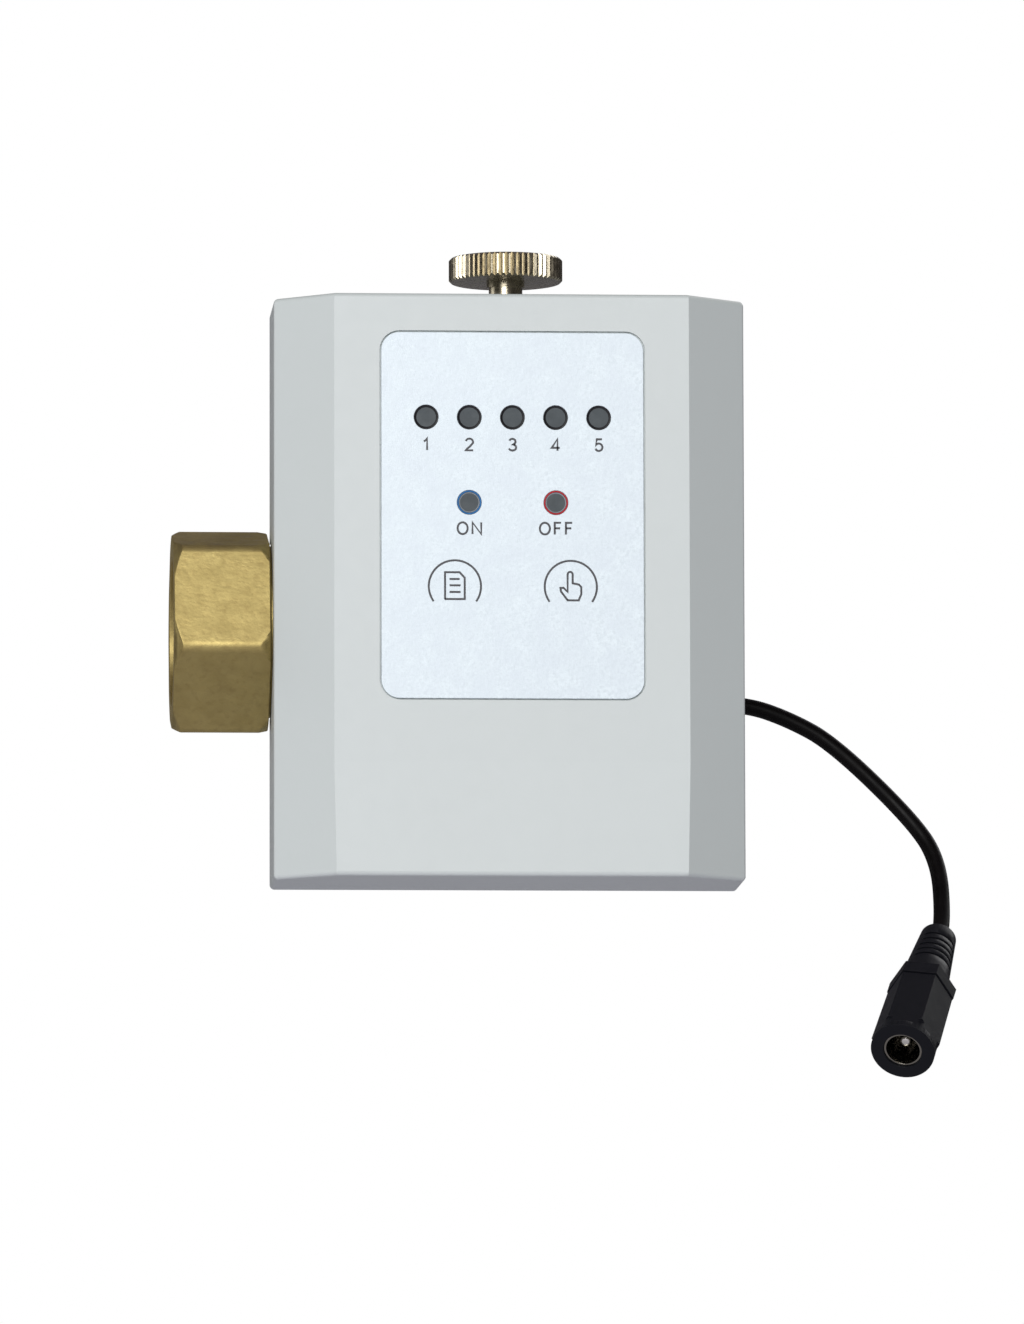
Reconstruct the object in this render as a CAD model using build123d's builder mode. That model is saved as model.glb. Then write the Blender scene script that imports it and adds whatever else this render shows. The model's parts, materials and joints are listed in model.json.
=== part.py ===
"""Motor-driven ball valve with a boxed controller, a hand knob and a DC power lead.

Millimetres. The origin is the centre of the inlet port's mouth, on the pipe axis.
+X runs along the pipe towards the outlet, +Y to the back, +Z up; the lamps face -Y.
"""
from build123d import *
import math
import os

os.makedirs("parts", exist_ok=True)

# Shared clearances and overruns
thread_gap = 0.05            # between screwed or pressed round pieces
running_gap = 0.06           # between a shaft and its bore
seat_gap = 0.1               # between pieces that rest on each other
case_gap = 0.4               # round the brass necks where they leave the case
overrun = 1.0                # how far a cut runs past the face that it opens

# Pipe ports
port_bore_radius = 12.06     # minor radius of a G3/4 female thread
port_depth = 14.0
flow_radius = 8.5
hex_across_flats = 30.7
hex_length = 15.6
hex_turn = 14.6              # degrees that the foremost corner sits below the pipe axis
hex_mouth_chamfer = 1.6      # along the pipe, at the port's end
hex_mouth_face = 15.7        # radius of the round face there
hex_case_chamfer = 2.4
hex_case_face = 16.4
hex_edge_rounding = 2.0

# Ball and valve body
ball_radius = 13.0
ball_cavity_gap = 1.0
body_wall = 3.0
outlet_radius = 15.0
inlet_neck_length = 8.4      # from the hexagon to the valve body
seat_thickness = 4.4
seat_wrap = 2.0              # how far a seat reaches back past the edge of its bore
stem_radius = 4.0
stem_tang_width = 6.0
stem_tang_depth = 2.6
stem_flange_radius = 6.0
stem_flange_thickness = 1.7
washer_thickness = 0.7
boss_radius = 13.0
boss_height = 4.0            # above the top of the valve body
nut_thread_radius = 6.2
nut_thread_length = 2.0
nut_across_flats = 13.0
nut_head_height = 1.8
o_ring_wire = 0.6            # radius of the stem rings' section
o_ring_pitch = 1.7
adapter_ring_wire = 0.9
lug_radius = 4.0
lug_spacing = 24.0

# Case
cover_wall = 2.5
cover_width = 76.05
cover_depth = 25.0           # from its flat front to its rear edge
cover_above_axis = 52.25
cover_below_axis = 42.0
face_width = 57.2            # flat front between the two slants
slant_depth = 7.7
lip_rise = 0.3               # how far the foot of the front face stands forward
lip_height = 18.4            # from the foot of the front face to its crease
edge_radius = 0.8
hex_to_case = 0.35
rear_depth = 25.0            # behind the pipe axis
lap_length = 4.0
lap_gap = 0.3
rear_corner_radius = 2.0

# Front label, lenses and keys
label_width = 42.3
label_height = 59.3
label_corner = 3.0
label_thickness = 0.6
label_groove = 0.25
label_top_margin = 6.35      # from the roof down to the label
label_side_shift = 0.1       # the label sits a little right of the middle
lens_radius = 1.93
lens_pitch = 6.95
zone_row_drop = 13.8         # from the label's top edge
lamp_row_drop = 27.6
lamp_spacing = 13.95
guide_radius = 1.4
guide_gap = 0.15
lamp_ring_width = 0.22
key_row_drop = 41.2
key_spacing = 18.65
key_radius = 3.6
key_flange = 0.9
key_flange_thickness = 0.4
key_travel = 0.3
key_gap = 0.3

# Circuit board behind the front
board_width = 38.0
board_height = 75.0
board_thickness = 1.6
board_standoff = 2.5
board_clearance = 1.4        # from the board back to the valve body
board_top_margin = 13.25     # from the roof down to the board
board_screw_inset = 2.5
board_post_radius = 2.2
board_screw_radius = 1.0
led_size = 2.4
led_thickness = 1.1
switch_size = 6.0
switch_thickness = 1.3
switch_button_radius = 1.6

# Screws and bosses of the case
case_screw_radius = 1.5
case_screw_head_radius = 2.75
case_screw_head_height = 2.4
case_screw_length = 18.0
screw_well_depth = 18.0
rear_boss_radius = 4.2
front_boss_radius = 3.0
upper_boss_spacing = 29.0
upper_boss_drop = 9.8        # from the roof
lower_boss_spacing = 46.0
lower_boss_rise = 10.0       # from the bottom
lug_screw_radius = 1.25
lug_screw_head_radius = 2.5
lug_screw_length = 9.0

# Gear train: stub teeth
gear_module = 0.6
pressure_angle = 25.0
addendum_share = 0.8
dedendum_share = 1.05
tooth_backlash = 0.16
output_teeth = 50
pinion_teeth = 14
wheel_teeth = 28
wheel_face = 2.5
output_face = 4.0
gear_step = 0.6              # from the wheel's top to the output gear
wheel_lift = 0.8             # from the lower plate to the wheel
pinion_overlap = 0.2         # how far the small pinion stands past the output gear
axle_radius = 1.0
motor_shaft_radius = 0.75
idler_angle = 151.5          # bearings of the gear centres, degrees
motor_angle = 219.0

# Gearbox plates and posts
plate_thickness = 1.5
plate_space = 8.7
plate_length = 53.8
plate_left_gap = 0.8
plate_front = 14.2           # from the stem axis to the front edge
plate_back_gap = 1.7         # to the inside of the rear housing
plate_corner = 3.0
post_radius = 2.0
post_pin_radius = 1.2
post_inset = 3.2
plate_screw_radius = 1.25
plate_screw_head_radius = 2.3
plate_screw_square = 14.14   # between neighbouring screws round the stem
plate_screw_length = 7.0
motor_radius = 6.0
motor_flat_width = 10.4
motor_screw_circle = 4.2
motor_head_height = 4.5
motor_can_height = 8.8

# Clutch and hand knob
hub_radius = 8.0
hub_rise = 3.6               # above the output gear
lower_hub_radius = 5.5
lower_hub_height = 3.1
relief_radius = 6.6
clutch_roof = 2.1
clutch_pin_radius = 1.0
clutch_pin_length = 12.6
clutch_slot_gap = 0.3
pin_slot_gap = 0.08
knob_travel = 3.5
knob_shaft_radius = 2.75
stem_top_rise = 6.0          # of the stem above the output gear's hub
spring_wire = 0.25
spring_radius = 1.9
spring_turns = 4
spring_room = 6.0
knob_radius = 9.27
knob_thickness = 3.85
knob_standoff = 5.3
knob_chamfer = 0.35
knurl_count = 60
knurl_depth = 0.4
knurl_shares = (0, 0.25, 0.6)  # of one pitch: the two ends of a crest, and the groove
collar_radius = 3.05
collar_height = 0.9
knob_side_shift = 0.5      # the knob sits a little right of the case's middle
bush_radius = 3.8
bush_flange = 1.2
bush_flange_thickness = 0.8

# Position sensing
disc_radius = 9.0
disc_thickness = 2.0
disc_lift = 1.0              # above the output gear's hub
magnet_radius = 1.5
magnet_thickness = 1.2
magnet_circle = 6.8
sensor_size = 3.0
sensor_thickness = 1.0
sensor_gap = 0.5
sensor_board_length = 27.0
sensor_board_width = 6.4
sensor_board_thickness = 1.0
sensor_post_radius = 1.5
sensor_post_spacing = 23.2

# Chips and plugs on the circuit board
radio_width = 16.0
radio_height = 14.0
radio_thickness = 2.6
chip_size = 7.0
chip_thickness = 0.9
chip_drop = 8.0
buzzer_radius = 5.0
buzzer_height = 6.0
socket_width = 8.0
socket_height = 5.0
socket_depth = 5.5
part_margin = 2.0            # from the board's edge to the parts near it
lead_radius = 0.55
lead_pitch = 1.6
lead_start_z = 43.0

# Power lead, seen from the case's right wall to the socket on its end
cord_radius = 1.35
grommet_radius = 2.5
grommet_flange = 0.9
grommet_flange_thickness = 1.2
cord_exit_inset = 7.5        # in front of the rear face
cord_exit_drop = 9.6         # below the pipe axis
cord_last_run = 3.4          # straight into the strain relief

# DC power socket on the lead's end
jack_place = (125.16, 3.0, -48.76)      # where the lead enters the strain relief
jack_direction = (-0.2532, -0.7317, -0.6329)
jack_length = 33.0
jack_ring_radius = 5.2
jack_ring_length = 2.6
jack_turn = 4.0              # degrees from the frame's X to a corner of the hexagon
jack_flats = 9.25             # at its rear end
jack_draft = 0.9             # degrees by which the hexagon widens to the mouth
jack_body_start = 14.7       # from the lead's end of the strain relief
jack_collar_length = 2.6
jack_collar_flats = 9.5
jack_seam = 0.35
relief_end_radius = 2.95
relief_wide_radius = 4.05
relief_groove_count = 5
relief_groove_width = 0.5
relief_groove_depth = 0.45   # below the narrow end's radius
relief_groove_pitch = 1.6
relief_groove_start = 3.7
relief_rib_width = 2.6       # of the two ribs that the grooves stop at
relief_rib_bearing = 150.0   # degrees from the frame's X
relief_end_rounding = 1.0
jack_bore_radius = 3.15
jack_bore_depth = 9.5
jack_sleeve_wall = 0.35
jack_pin_radius = 1.05
jack_pin_recess = 2.3        # from the mouth back to the pin's tip
jack_pin_foot = 2.0

# Places worked out from the sizes above
cover_left = hex_length + hex_to_case
cover_right = cover_left + cover_width
case_mid = (cover_left + cover_right) / 2
cover_height = cover_above_axis + cover_below_axis
body_radius = ball_radius + ball_cavity_gap + body_wall
front_inner = body_radius + board_clearance + board_thickness + board_standoff
front_face = front_inner + cover_wall
cover_edge = cover_depth - front_face
lap_front = cover_edge - lap_length
ball_x = case_mid + knob_side_shift
outlet_x = cover_right - hex_to_case
spigot_radius = ball_radius + ball_cavity_gap - thread_gap
cavity_radius = ball_radius + ball_cavity_gap
body_left = hex_length + inlet_neck_length
seat_start = math.sqrt(ball_radius**2 - (flow_radius + 2 * seat_gap) ** 2) - seat_wrap
seat_outer = seat_start + seat_thickness
adapter_ring_x = ball_x - seat_outer - 3 * adapter_ring_wire
boss_top = body_radius + boss_height
flange_roof = ball_radius + stem_flange_thickness + washer_thickness + 3 * seat_gap
rear_inset = cover_wall + lap_gap
rear_left = cover_left + rear_inset
rear_right = cover_right - rear_inset
rear_bottom = -cover_below_axis + rear_inset
rear_top = cover_above_axis - rear_inset
rear_inner_back = rear_depth - cover_wall
cord_exit_back = rear_depth - cord_exit_inset
label_x = case_mid + label_side_shift
label_top = cover_above_axis - label_top_margin
label_z = label_top - label_height / 2
zone_z = label_top - zone_row_drop
lamp_z = label_top - lamp_row_drop
key_z = label_top - key_row_drop
board_front = front_inner - board_standoff
board_back = board_front - board_thickness
board_top = cover_above_axis - board_top_margin
board_z = board_top - board_height / 2
lower_plate_z = boss_top
wheel_z = lower_plate_z + plate_thickness + wheel_lift
output_z = wheel_z + wheel_face + gear_step
hub_top = output_z + output_face + hub_rise
upper_plate_z = lower_plate_z + plate_thickness + plate_space
upper_plate_top = upper_plate_z + plate_thickness
pin_z = hub_top - clutch_pin_radius
stem_top = hub_top + stem_top_rise
spring_floor = pin_z - 2 * clutch_pin_radius - spring_room
idler_distance = gear_module * (output_teeth + pinion_teeth) / 2
motor_distance = gear_module * (wheel_teeth + pinion_teeth) / 2
idler_x = ball_x + idler_distance * math.cos(math.radians(idler_angle))
idler_y = idler_distance * math.sin(math.radians(idler_angle))
motor_x = idler_x + motor_distance * math.cos(math.radians(motor_angle))
motor_y = idler_y + motor_distance * math.sin(math.radians(motor_angle))
plate_left = rear_left + cover_wall + plate_left_gap
plate_mid_x = plate_left + plate_length / 2
plate_depth = plate_front + rear_inner_back - plate_back_gap
plate_mid_y = plate_depth / 2 - plate_front
knob_z = cover_above_axis + knob_standoff
disc_z = hub_top + disc_lift
sensor_z = disc_z + disc_thickness + sensor_gap
grommet_x = rear_right + grommet_flange_thickness


def across(x):
    """The plane square to the pipe at x, drawn in Y and Z."""
    return Plane.YZ.offset(x)


def level(z):
    """The horizontal plane at height z, drawn in X and Y."""
    return Plane.XY.offset(z)


def facing(y):
    """The upright plane at depth y, drawn in X and Z, whose normal points to the front."""
    return Plane.XZ.offset(-y)


def on_stem(z):
    """The horizontal plane at height z, centred on the valve stem."""
    return Plane((ball_x, 0, z))


def save(piece, name):
    piece.part.label = name
    export_step(piece.part, f"parts/{name}.step")


# Brass inlet piece: turned hexagon, neck and the spigot that holds the left seat
with BuildPart() as inlet_adapter:
    with BuildSketch(across(0)):
        RegularPolygon(hex_across_flats / 2, 6, major_radius=False, rotation=hex_turn)
    extrude(amount=hex_length)
    fillet(inlet_adapter.edges().filter_by(Axis.X), hex_edge_rounding)
    with BuildSketch(Plane.XZ):
        with BuildLine():
            hex_corner = hex_across_flats / math.sqrt(3)
            Polyline(
                (0, 0),
                (0, hex_mouth_face),
                (hex_mouth_chamfer, hex_corner),
                (hex_length - hex_case_chamfer, hex_corner),
                (hex_length, hex_case_face),
                (hex_length, 0),
                close=True,
            )
        make_face()
    revolve(axis=Axis.X, mode=Mode.INTERSECT)
    with BuildSketch(across(hex_length)):
        Circle(spigot_radius)
    extrude(amount=ball_x - seat_outer - hex_length)
    with BuildSketch(across(0)):
        Circle(port_bore_radius)
    extrude(amount=port_depth, mode=Mode.SUBTRACT)
    with BuildSketch(across(0)):
        Circle(flow_radius)
    extrude(amount=ball_x, mode=Mode.SUBTRACT)
    with BuildSketch(across(adapter_ring_x - adapter_ring_wire - seat_gap)):
        Circle(spigot_radius + overrun)
        Circle(spigot_radius - 2 * adapter_ring_wire - seat_gap, mode=Mode.SUBTRACT)
    extrude(amount=2 * (adapter_ring_wire + seat_gap), mode=Mode.SUBTRACT)
save(inlet_adapter, "inlet_adapter")

with BuildPart() as adapter_o_ring:
    with BuildSketch(Plane.XZ):
        with Locations((adapter_ring_x, spigot_radius - adapter_ring_wire)):
            Circle(adapter_ring_wire)
    revolve(axis=Axis.X)
save(adapter_o_ring, "adapter_o_ring")

# Valve body: a barrel round the ball, an outlet neck, a boss for the stem and two lugs
plate_screw_places = [
    (ball_x + side * plate_screw_square / 2, end * plate_screw_square / 2)
    for side in (-1, 1)
    for end in (-1, 1)
]
with BuildPart() as valve_body:
    with BuildSketch(across(body_left)):
        Circle(body_radius)
    extrude(amount=ball_x + seat_outer + body_wall - body_left)
    with BuildSketch(across(ball_x)):
        Circle(outlet_radius)
    extrude(amount=outlet_x - ball_x)
    with BuildSketch(on_stem(0)):
        Circle(boss_radius)
    extrude(amount=boss_top)
    with BuildSketch(facing(0)):
        with Locations((ball_x - lug_spacing / 2, 0), (ball_x + lug_spacing / 2, 0)):
            Circle(lug_radius)
    extrude(amount=-rear_inner_back)
    with BuildSketch(across(body_left)):
        Circle(cavity_radius)
    extrude(amount=ball_x + seat_outer - body_left, mode=Mode.SUBTRACT)
    with BuildSketch(across(ball_x)):
        Circle(flow_radius)
    extrude(amount=outlet_x - ball_x, mode=Mode.SUBTRACT)
    with BuildSketch(across(outlet_x - port_depth)):
        Circle(port_bore_radius)
    extrude(amount=port_depth, mode=Mode.SUBTRACT)
    with BuildSketch(on_stem(0)):
        Circle(stem_radius + o_ring_wire / 2)
    extrude(amount=boss_top, mode=Mode.SUBTRACT)
    with BuildSketch(on_stem(0)):
        Circle(stem_flange_radius + 2 * seat_gap)
    extrude(amount=flange_roof, mode=Mode.SUBTRACT)
    with BuildSketch(on_stem(boss_top)):
        Circle(nut_thread_radius + thread_gap)
    extrude(amount=-nut_thread_length, mode=Mode.SUBTRACT)
    with BuildSketch(level(boss_top)):
        with Locations(*plate_screw_places):
            Circle(plate_screw_radius + thread_gap)
    extrude(amount=-plate_screw_length, mode=Mode.SUBTRACT)
    with BuildSketch(facing(rear_inner_back)):
        with Locations((ball_x - lug_spacing / 2, 0), (ball_x + lug_spacing / 2, 0)):
            Circle(lug_screw_radius + thread_gap)
    extrude(amount=lug_screw_length - cover_wall + seat_gap, mode=Mode.SUBTRACT)
save(valve_body, "valve_body")

# Ball with its through bore and the slot that the stem's tang drives
with BuildPart() as ball:
    with Locations((ball_x, 0, 0)):
        Sphere(ball_radius)
    with BuildSketch(across(ball_x - ball_radius)):
        Circle(flow_radius)
    extrude(amount=2 * ball_radius, mode=Mode.SUBTRACT)
    with BuildSketch(on_stem(ball_radius - stem_tang_depth - seat_gap)):
        Rectangle(2 * ball_radius, stem_tang_width + 2 * seat_gap)
    extrude(amount=stem_tang_depth + overrun, mode=Mode.SUBTRACT)
save(ball, "ball")

# Soft seats, one each side of the ball, with a hollow that follows it
seat_hollow = ball_radius + seat_gap
seat_bore = flow_radius + seat_gap
for side, name in ((-1, "inlet_seat"), (1, "outlet_seat")):
    with BuildPart() as seat:
        with BuildSketch(Plane.XZ):
            with BuildLine():
                start = (ball_x + side * seat_start, math.sqrt(seat_hollow**2 - seat_start**2))
                end = (ball_x + side * math.sqrt(seat_hollow**2 - seat_bore**2), seat_bore)
                lean = (math.atan2(start[1], seat_start) + math.asin(seat_bore / seat_hollow)) / 2
                middle = (ball_x + side * seat_hollow * math.cos(lean), seat_hollow * math.sin(lean))
                ThreePointArc(start, middle, end)
                Polyline(
                    end,
                    (ball_x + side * seat_outer, seat_bore),
                    (ball_x + side * seat_outer, cavity_radius - 2 * seat_gap),
                    (ball_x + side * seat_start, cavity_radius - 2 * seat_gap),
                    start,
                )
            make_face()
        revolve(axis=Axis.X)
    save(seat, name)

# Stem: tang, flange under the washer, ring grooves, then a slotted tube for the clutch pin
ring_levels = [flange_roof + 1.4 * o_ring_wire + i * o_ring_pitch for i in range(2)]
with BuildPart() as valve_stem:
    with BuildSketch(on_stem(ball_radius - stem_tang_depth)):
        Rectangle(2 * stem_radius, stem_tang_width)
    extrude(amount=stem_tang_depth + seat_gap)
    with BuildSketch(on_stem(ball_radius + seat_gap)):
        Circle(stem_flange_radius)
    extrude(amount=stem_flange_thickness)
    with BuildSketch(on_stem(ball_radius + seat_gap)):
        Circle(stem_radius)
    extrude(amount=stem_top - ball_radius - seat_gap)
    for ring_level in ring_levels:
        with BuildSketch(on_stem(ring_level - 1.1 * o_ring_wire)):
            Circle(stem_radius + overrun)
            Circle(stem_radius + o_ring_wire / 2 - 2 * o_ring_wire - seat_gap, mode=Mode.SUBTRACT)
        extrude(amount=2.2 * o_ring_wire, mode=Mode.SUBTRACT)
    with BuildSketch(on_stem(spring_floor)):
        Circle(knob_shaft_radius + running_gap)
    extrude(amount=stem_top - spring_floor, mode=Mode.SUBTRACT)
    slot_top = pin_z + clutch_pin_radius + 2 * seat_gap
    with BuildSketch(on_stem(slot_top)):
        Rectangle(4 * stem_radius, 2 * (clutch_pin_radius + pin_slot_gap))
    extrude(amount=-(knob_travel + 2 * clutch_pin_radius + 4 * seat_gap), mode=Mode.SUBTRACT)
save(valve_stem, "valve_stem")

with BuildPart() as stem_o_rings:
    with BuildSketch(Plane.XZ):
        for ring_level in ring_levels:
            with Locations((ball_x + stem_radius - o_ring_wire / 2 - seat_gap / 2, ring_level)):
                Circle(o_ring_wire)
    revolve(axis=Axis((ball_x, 0, 0), (0, 0, 1)))
save(stem_o_rings, "stem_o_rings")

with BuildPart() as thrust_washer:
    with BuildSketch(on_stem(ball_radius + 2 * seat_gap + stem_flange_thickness)):
        Circle(stem_flange_radius)
        Circle(stem_radius + seat_gap, mode=Mode.SUBTRACT)
    extrude(amount=washer_thickness)
save(thrust_washer, "thrust_washer")

with BuildPart() as packing_nut:
    with BuildSketch(on_stem(boss_top - nut_thread_length + seat_gap)):
        Circle(nut_thread_radius)
    extrude(amount=nut_thread_length)
    with BuildSketch(on_stem(boss_top + seat_gap)):
        RegularPolygon(nut_across_flats / 2, 6, major_radius=False)
    extrude(amount=nut_head_height)
    with BuildSketch(on_stem(0)):
        Circle(stem_radius + running_gap)
    extrude(amount=boss_top + nut_head_height + overrun, mode=Mode.SUBTRACT)
save(packing_nut, "packing_nut")


# Case
def cover_outline(forward, back):
    """Plan of the cover: a flat front between two slants, run forward and back as asked."""
    run = (cover_width - face_width) / 2
    half_front = face_width / 2 - forward * run / slant_depth
    return [
        (cover_left, back),
        (cover_left, slant_depth - front_face),
        (case_mid - half_front, -front_face - forward),
        (case_mid + half_front, -front_face - forward),
        (cover_right, slant_depth - front_face),
        (cover_right, back),
    ]


boss_places = [
    (case_mid + side * upper_boss_spacing / 2, cover_above_axis - upper_boss_drop) for side in (-1, 1)
] + [(case_mid + side * lower_boss_spacing / 2, lower_boss_rise - cover_below_axis) for side in (-1, 1)]
board_screw_places = [
    (
        label_x + side * (board_width / 2 - board_screw_inset),
        board_z + end * (board_height / 2 - board_screw_inset),
    )
    for side in (-1, 1)
    for end in (-1, 1)
]
zone_places = [(label_x + (i - 2) * lens_pitch, zone_z) for i in range(5)]
lamp_places = [(label_x + side * lamp_spacing / 2, lamp_z) for side in (-1, 1)]
key_places = [(label_x + side * key_spacing / 2, key_z) for side in (-1, 1)]

with BuildPart() as front_cover:
    with BuildSketch(level(-cover_below_axis)):
        with BuildLine():
            Polyline(*cover_outline(lip_rise, cover_edge), close=True)
        make_face()
    extrude(amount=cover_height)
    with BuildSketch(across(cover_left)):
        with BuildLine():
            Polyline(
                (-front_face - overrun, cover_above_axis + overrun),
                (-front_face, cover_above_axis + overrun),
                (-front_face, lip_height - cover_below_axis),
                (-front_face - lip_rise, -cover_below_axis),
                (-front_face - overrun, -cover_below_axis),
                close=True,
            )
        make_face()
    extrude(amount=cover_width, mode=Mode.SUBTRACT)
    rim_edges = front_cover.edges().group_by(Axis.Z)[0] + front_cover.edges().group_by(Axis.Z)[-1]
    slant_edges = front_cover.edges().filter_by(Axis.Z).filter_by_position(
        Axis.Y, slant_depth - front_face - edge_radius, slant_depth - front_face + edge_radius
    )
    fillet(
        [edge for edge in rim_edges + slant_edges if edge.center().Y < cover_edge - edge_radius],
        radius=edge_radius,
    )
    with BuildSketch(level(cover_wall - cover_below_axis)):
        with BuildLine():
            Polyline(*cover_outline(0, cover_edge + cover_wall + overrun), close=True)
        make_face()
        offset(amount=-cover_wall, kind=Kind.INTERSECTION)
    extrude(amount=cover_height - 2 * cover_wall, mode=Mode.SUBTRACT)
    with BuildSketch(facing(-front_inner - cover_wall / 2)):
        with Locations(*boss_places):
            Circle(front_boss_radius)
    extrude(amount=-(cover_wall / 2 + front_inner + lap_front))
    with BuildSketch(facing(-front_inner - cover_wall / 2)):
        with Locations(*board_screw_places):
            Circle(board_post_radius)
    extrude(amount=-(cover_wall / 2 + board_standoff))
    with BuildSketch(facing(lap_front)):
        with Locations(*boss_places):
            Circle(case_screw_radius + thread_gap)
    extrude(amount=front_inner + lap_front - cover_wall, mode=Mode.SUBTRACT)
    with BuildSketch(facing(-board_front)):
        with Locations(*board_screw_places):
            Circle(board_screw_radius + thread_gap)
    extrude(amount=board_standoff, mode=Mode.SUBTRACT)
    with BuildSketch(facing(-front_face)):
        with Locations((label_x, label_z)):
            RectangleRounded(
                label_width + 2 * label_groove, label_height + 2 * label_groove, label_corner + label_groove
            )
    extrude(amount=-label_thickness, mode=Mode.SUBTRACT)
    with BuildSketch(facing(-front_face)):
        with Locations(*zone_places, *lamp_places):
            Circle(guide_radius + guide_gap)
        with Locations(*key_places):
            Circle(key_radius + key_gap)
    extrude(amount=-(cover_wall + overrun), mode=Mode.SUBTRACT)
    with BuildSketch(across(cover_left - overrun)):
        Circle(spigot_radius + case_gap)
    extrude(amount=cover_wall + 2 * overrun, mode=Mode.SUBTRACT)
    with BuildSketch(across(cover_right + overrun)):
        Circle(outlet_radius + case_gap)
    extrude(amount=-(cover_wall + 2 * overrun), mode=Mode.SUBTRACT)
    with BuildSketch(on_stem(cover_above_axis + overrun)):
        Circle(bush_radius + seat_gap)
    extrude(amount=-(cover_wall + 2 * overrun), mode=Mode.SUBTRACT)
save(front_cover, "front_cover")

rear_width = rear_right - rear_left
rear_height = rear_top - rear_bottom
rear_mid_z = (rear_top + rear_bottom) / 2
with BuildPart() as rear_housing:
    with BuildSketch(facing(lap_front)):
        with Locations((case_mid, rear_mid_z)):
            Rectangle(rear_width, rear_height)
    extrude(amount=-(rear_depth - lap_front))
    fillet(rear_housing.faces().sort_by(Axis.Y)[-1].edges(), radius=rear_corner_radius)
    with BuildSketch(facing(lap_front)):
        with Locations((case_mid, rear_mid_z)):
            Rectangle(rear_width - 2 * cover_wall, rear_height - 2 * cover_wall)
    extrude(amount=-(rear_inner_back - lap_front), mode=Mode.SUBTRACT)
    with BuildSketch(facing(lap_front)):
        with Locations(*boss_places):
            Circle(rear_boss_radius)
    extrude(amount=-(rear_depth - rear_corner_radius - lap_front))
    with BuildSketch(facing(lap_front - overrun)):
        with Locations(*boss_places):
            Circle(case_screw_radius + 2 * seat_gap)
    extrude(amount=-(rear_depth - lap_front), mode=Mode.SUBTRACT)
    with BuildSketch(facing(rear_depth)):
        with Locations(*boss_places):
            Circle(case_screw_head_radius + 2 * seat_gap)
    extrude(amount=screw_well_depth, mode=Mode.SUBTRACT)
    with BuildSketch(across(rear_left - overrun)):
        Circle(spigot_radius + case_gap)
    extrude(amount=cover_wall + 2 * overrun, mode=Mode.SUBTRACT)
    with BuildSketch(across(rear_right + overrun)):
        Circle(outlet_radius + case_gap)
    extrude(amount=-(cover_wall + 2 * overrun), mode=Mode.SUBTRACT)
    with BuildSketch(on_stem(rear_top + overrun)):
        Circle(bush_radius + seat_gap)
        with Locations((0, -front_face / 2)):
            Rectangle(2 * (bush_radius + seat_gap), front_face)
    extrude(amount=-(cover_wall + 2 * overrun), mode=Mode.SUBTRACT)
    with BuildSketch(across(rear_right + overrun)):
        with Locations((cord_exit_back, -cord_exit_drop)):
            Circle(grommet_radius + seat_gap)
    extrude(amount=-(cover_wall + 2 * overrun), mode=Mode.SUBTRACT)
    lug_places = [(ball_x - lug_spacing / 2, 0), (ball_x + lug_spacing / 2, 0)]
    with BuildSketch(facing(rear_depth)):
        with Locations(*lug_places):
            Circle(lug_screw_radius + 2 * seat_gap)
    extrude(amount=2 * cover_wall, mode=Mode.SUBTRACT)
    for place in lug_places:
        with Locations(Plane((place[0], rear_depth, place[1]), z_dir=(0, 1, 0))):
            Cone(
                bottom_radius=lug_screw_radius + 2 * seat_gap,
                top_radius=lug_screw_head_radius + 2 * seat_gap,
                height=lug_screw_head_radius - lug_screw_radius,
                align=(Align.CENTER, Align.CENTER, Align.MAX),
                mode=Mode.SUBTRACT,
            )
save(rear_housing, "rear_housing")

with BuildPart() as cover_screws:
    well_floor = rear_depth - screw_well_depth
    with BuildSketch(facing(well_floor)):
        with Locations(*boss_places):
            Circle(case_screw_head_radius)
    extrude(amount=-case_screw_head_height)
    with BuildSketch(facing(well_floor)):
        with Locations(*boss_places):
            Circle(case_screw_radius)
    extrude(amount=case_screw_length)
    with BuildSketch(facing(well_floor + case_screw_head_height)):
        for place in boss_places:
            with Locations(place):
                Rectangle(case_screw_head_radius, case_screw_head_radius / 4)
                Rectangle(case_screw_head_radius / 4, case_screw_head_radius)
    extrude(amount=case_screw_head_height / 2, mode=Mode.SUBTRACT)
save(cover_screws, "cover_screws")

with BuildPart() as body_screws:
    cone_height = lug_screw_head_radius - lug_screw_radius
    with BuildSketch(facing(rear_depth - cone_height)):
        with Locations(*lug_places):
            Circle(lug_screw_radius)
    extrude(amount=lug_screw_length - cone_height)
    for place in lug_places:
        with Locations(Plane((place[0], rear_depth, place[1]), z_dir=(0, 1, 0))):
            Cone(
                bottom_radius=lug_screw_radius,
                top_radius=lug_screw_head_radius,
                height=cone_height,
                align=(Align.CENTER, Align.CENTER, Align.MAX),
            )
    with BuildSketch(facing(rear_depth)):
        for place in lug_places:
            with Locations(place):
                Rectangle(lug_screw_head_radius, lug_screw_head_radius / 4)
                Rectangle(lug_screw_head_radius / 4, lug_screw_head_radius)
    extrude(amount=cone_height / 2, mode=Mode.SUBTRACT)
save(body_screws, "body_screws")

# Label plate with its lens holes; the keys work through it as a membrane
with BuildPart() as label_plate:
    with BuildSketch(facing(label_thickness - front_face)):
        with Locations((label_x, label_z)):
            RectangleRounded(label_width, label_height, label_corner)
        with Locations(*zone_places, *lamp_places):
            Circle(lens_radius + thread_gap, mode=Mode.SUBTRACT)
    extrude(amount=label_thickness)
save(label_plate, "label_plate")


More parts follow.
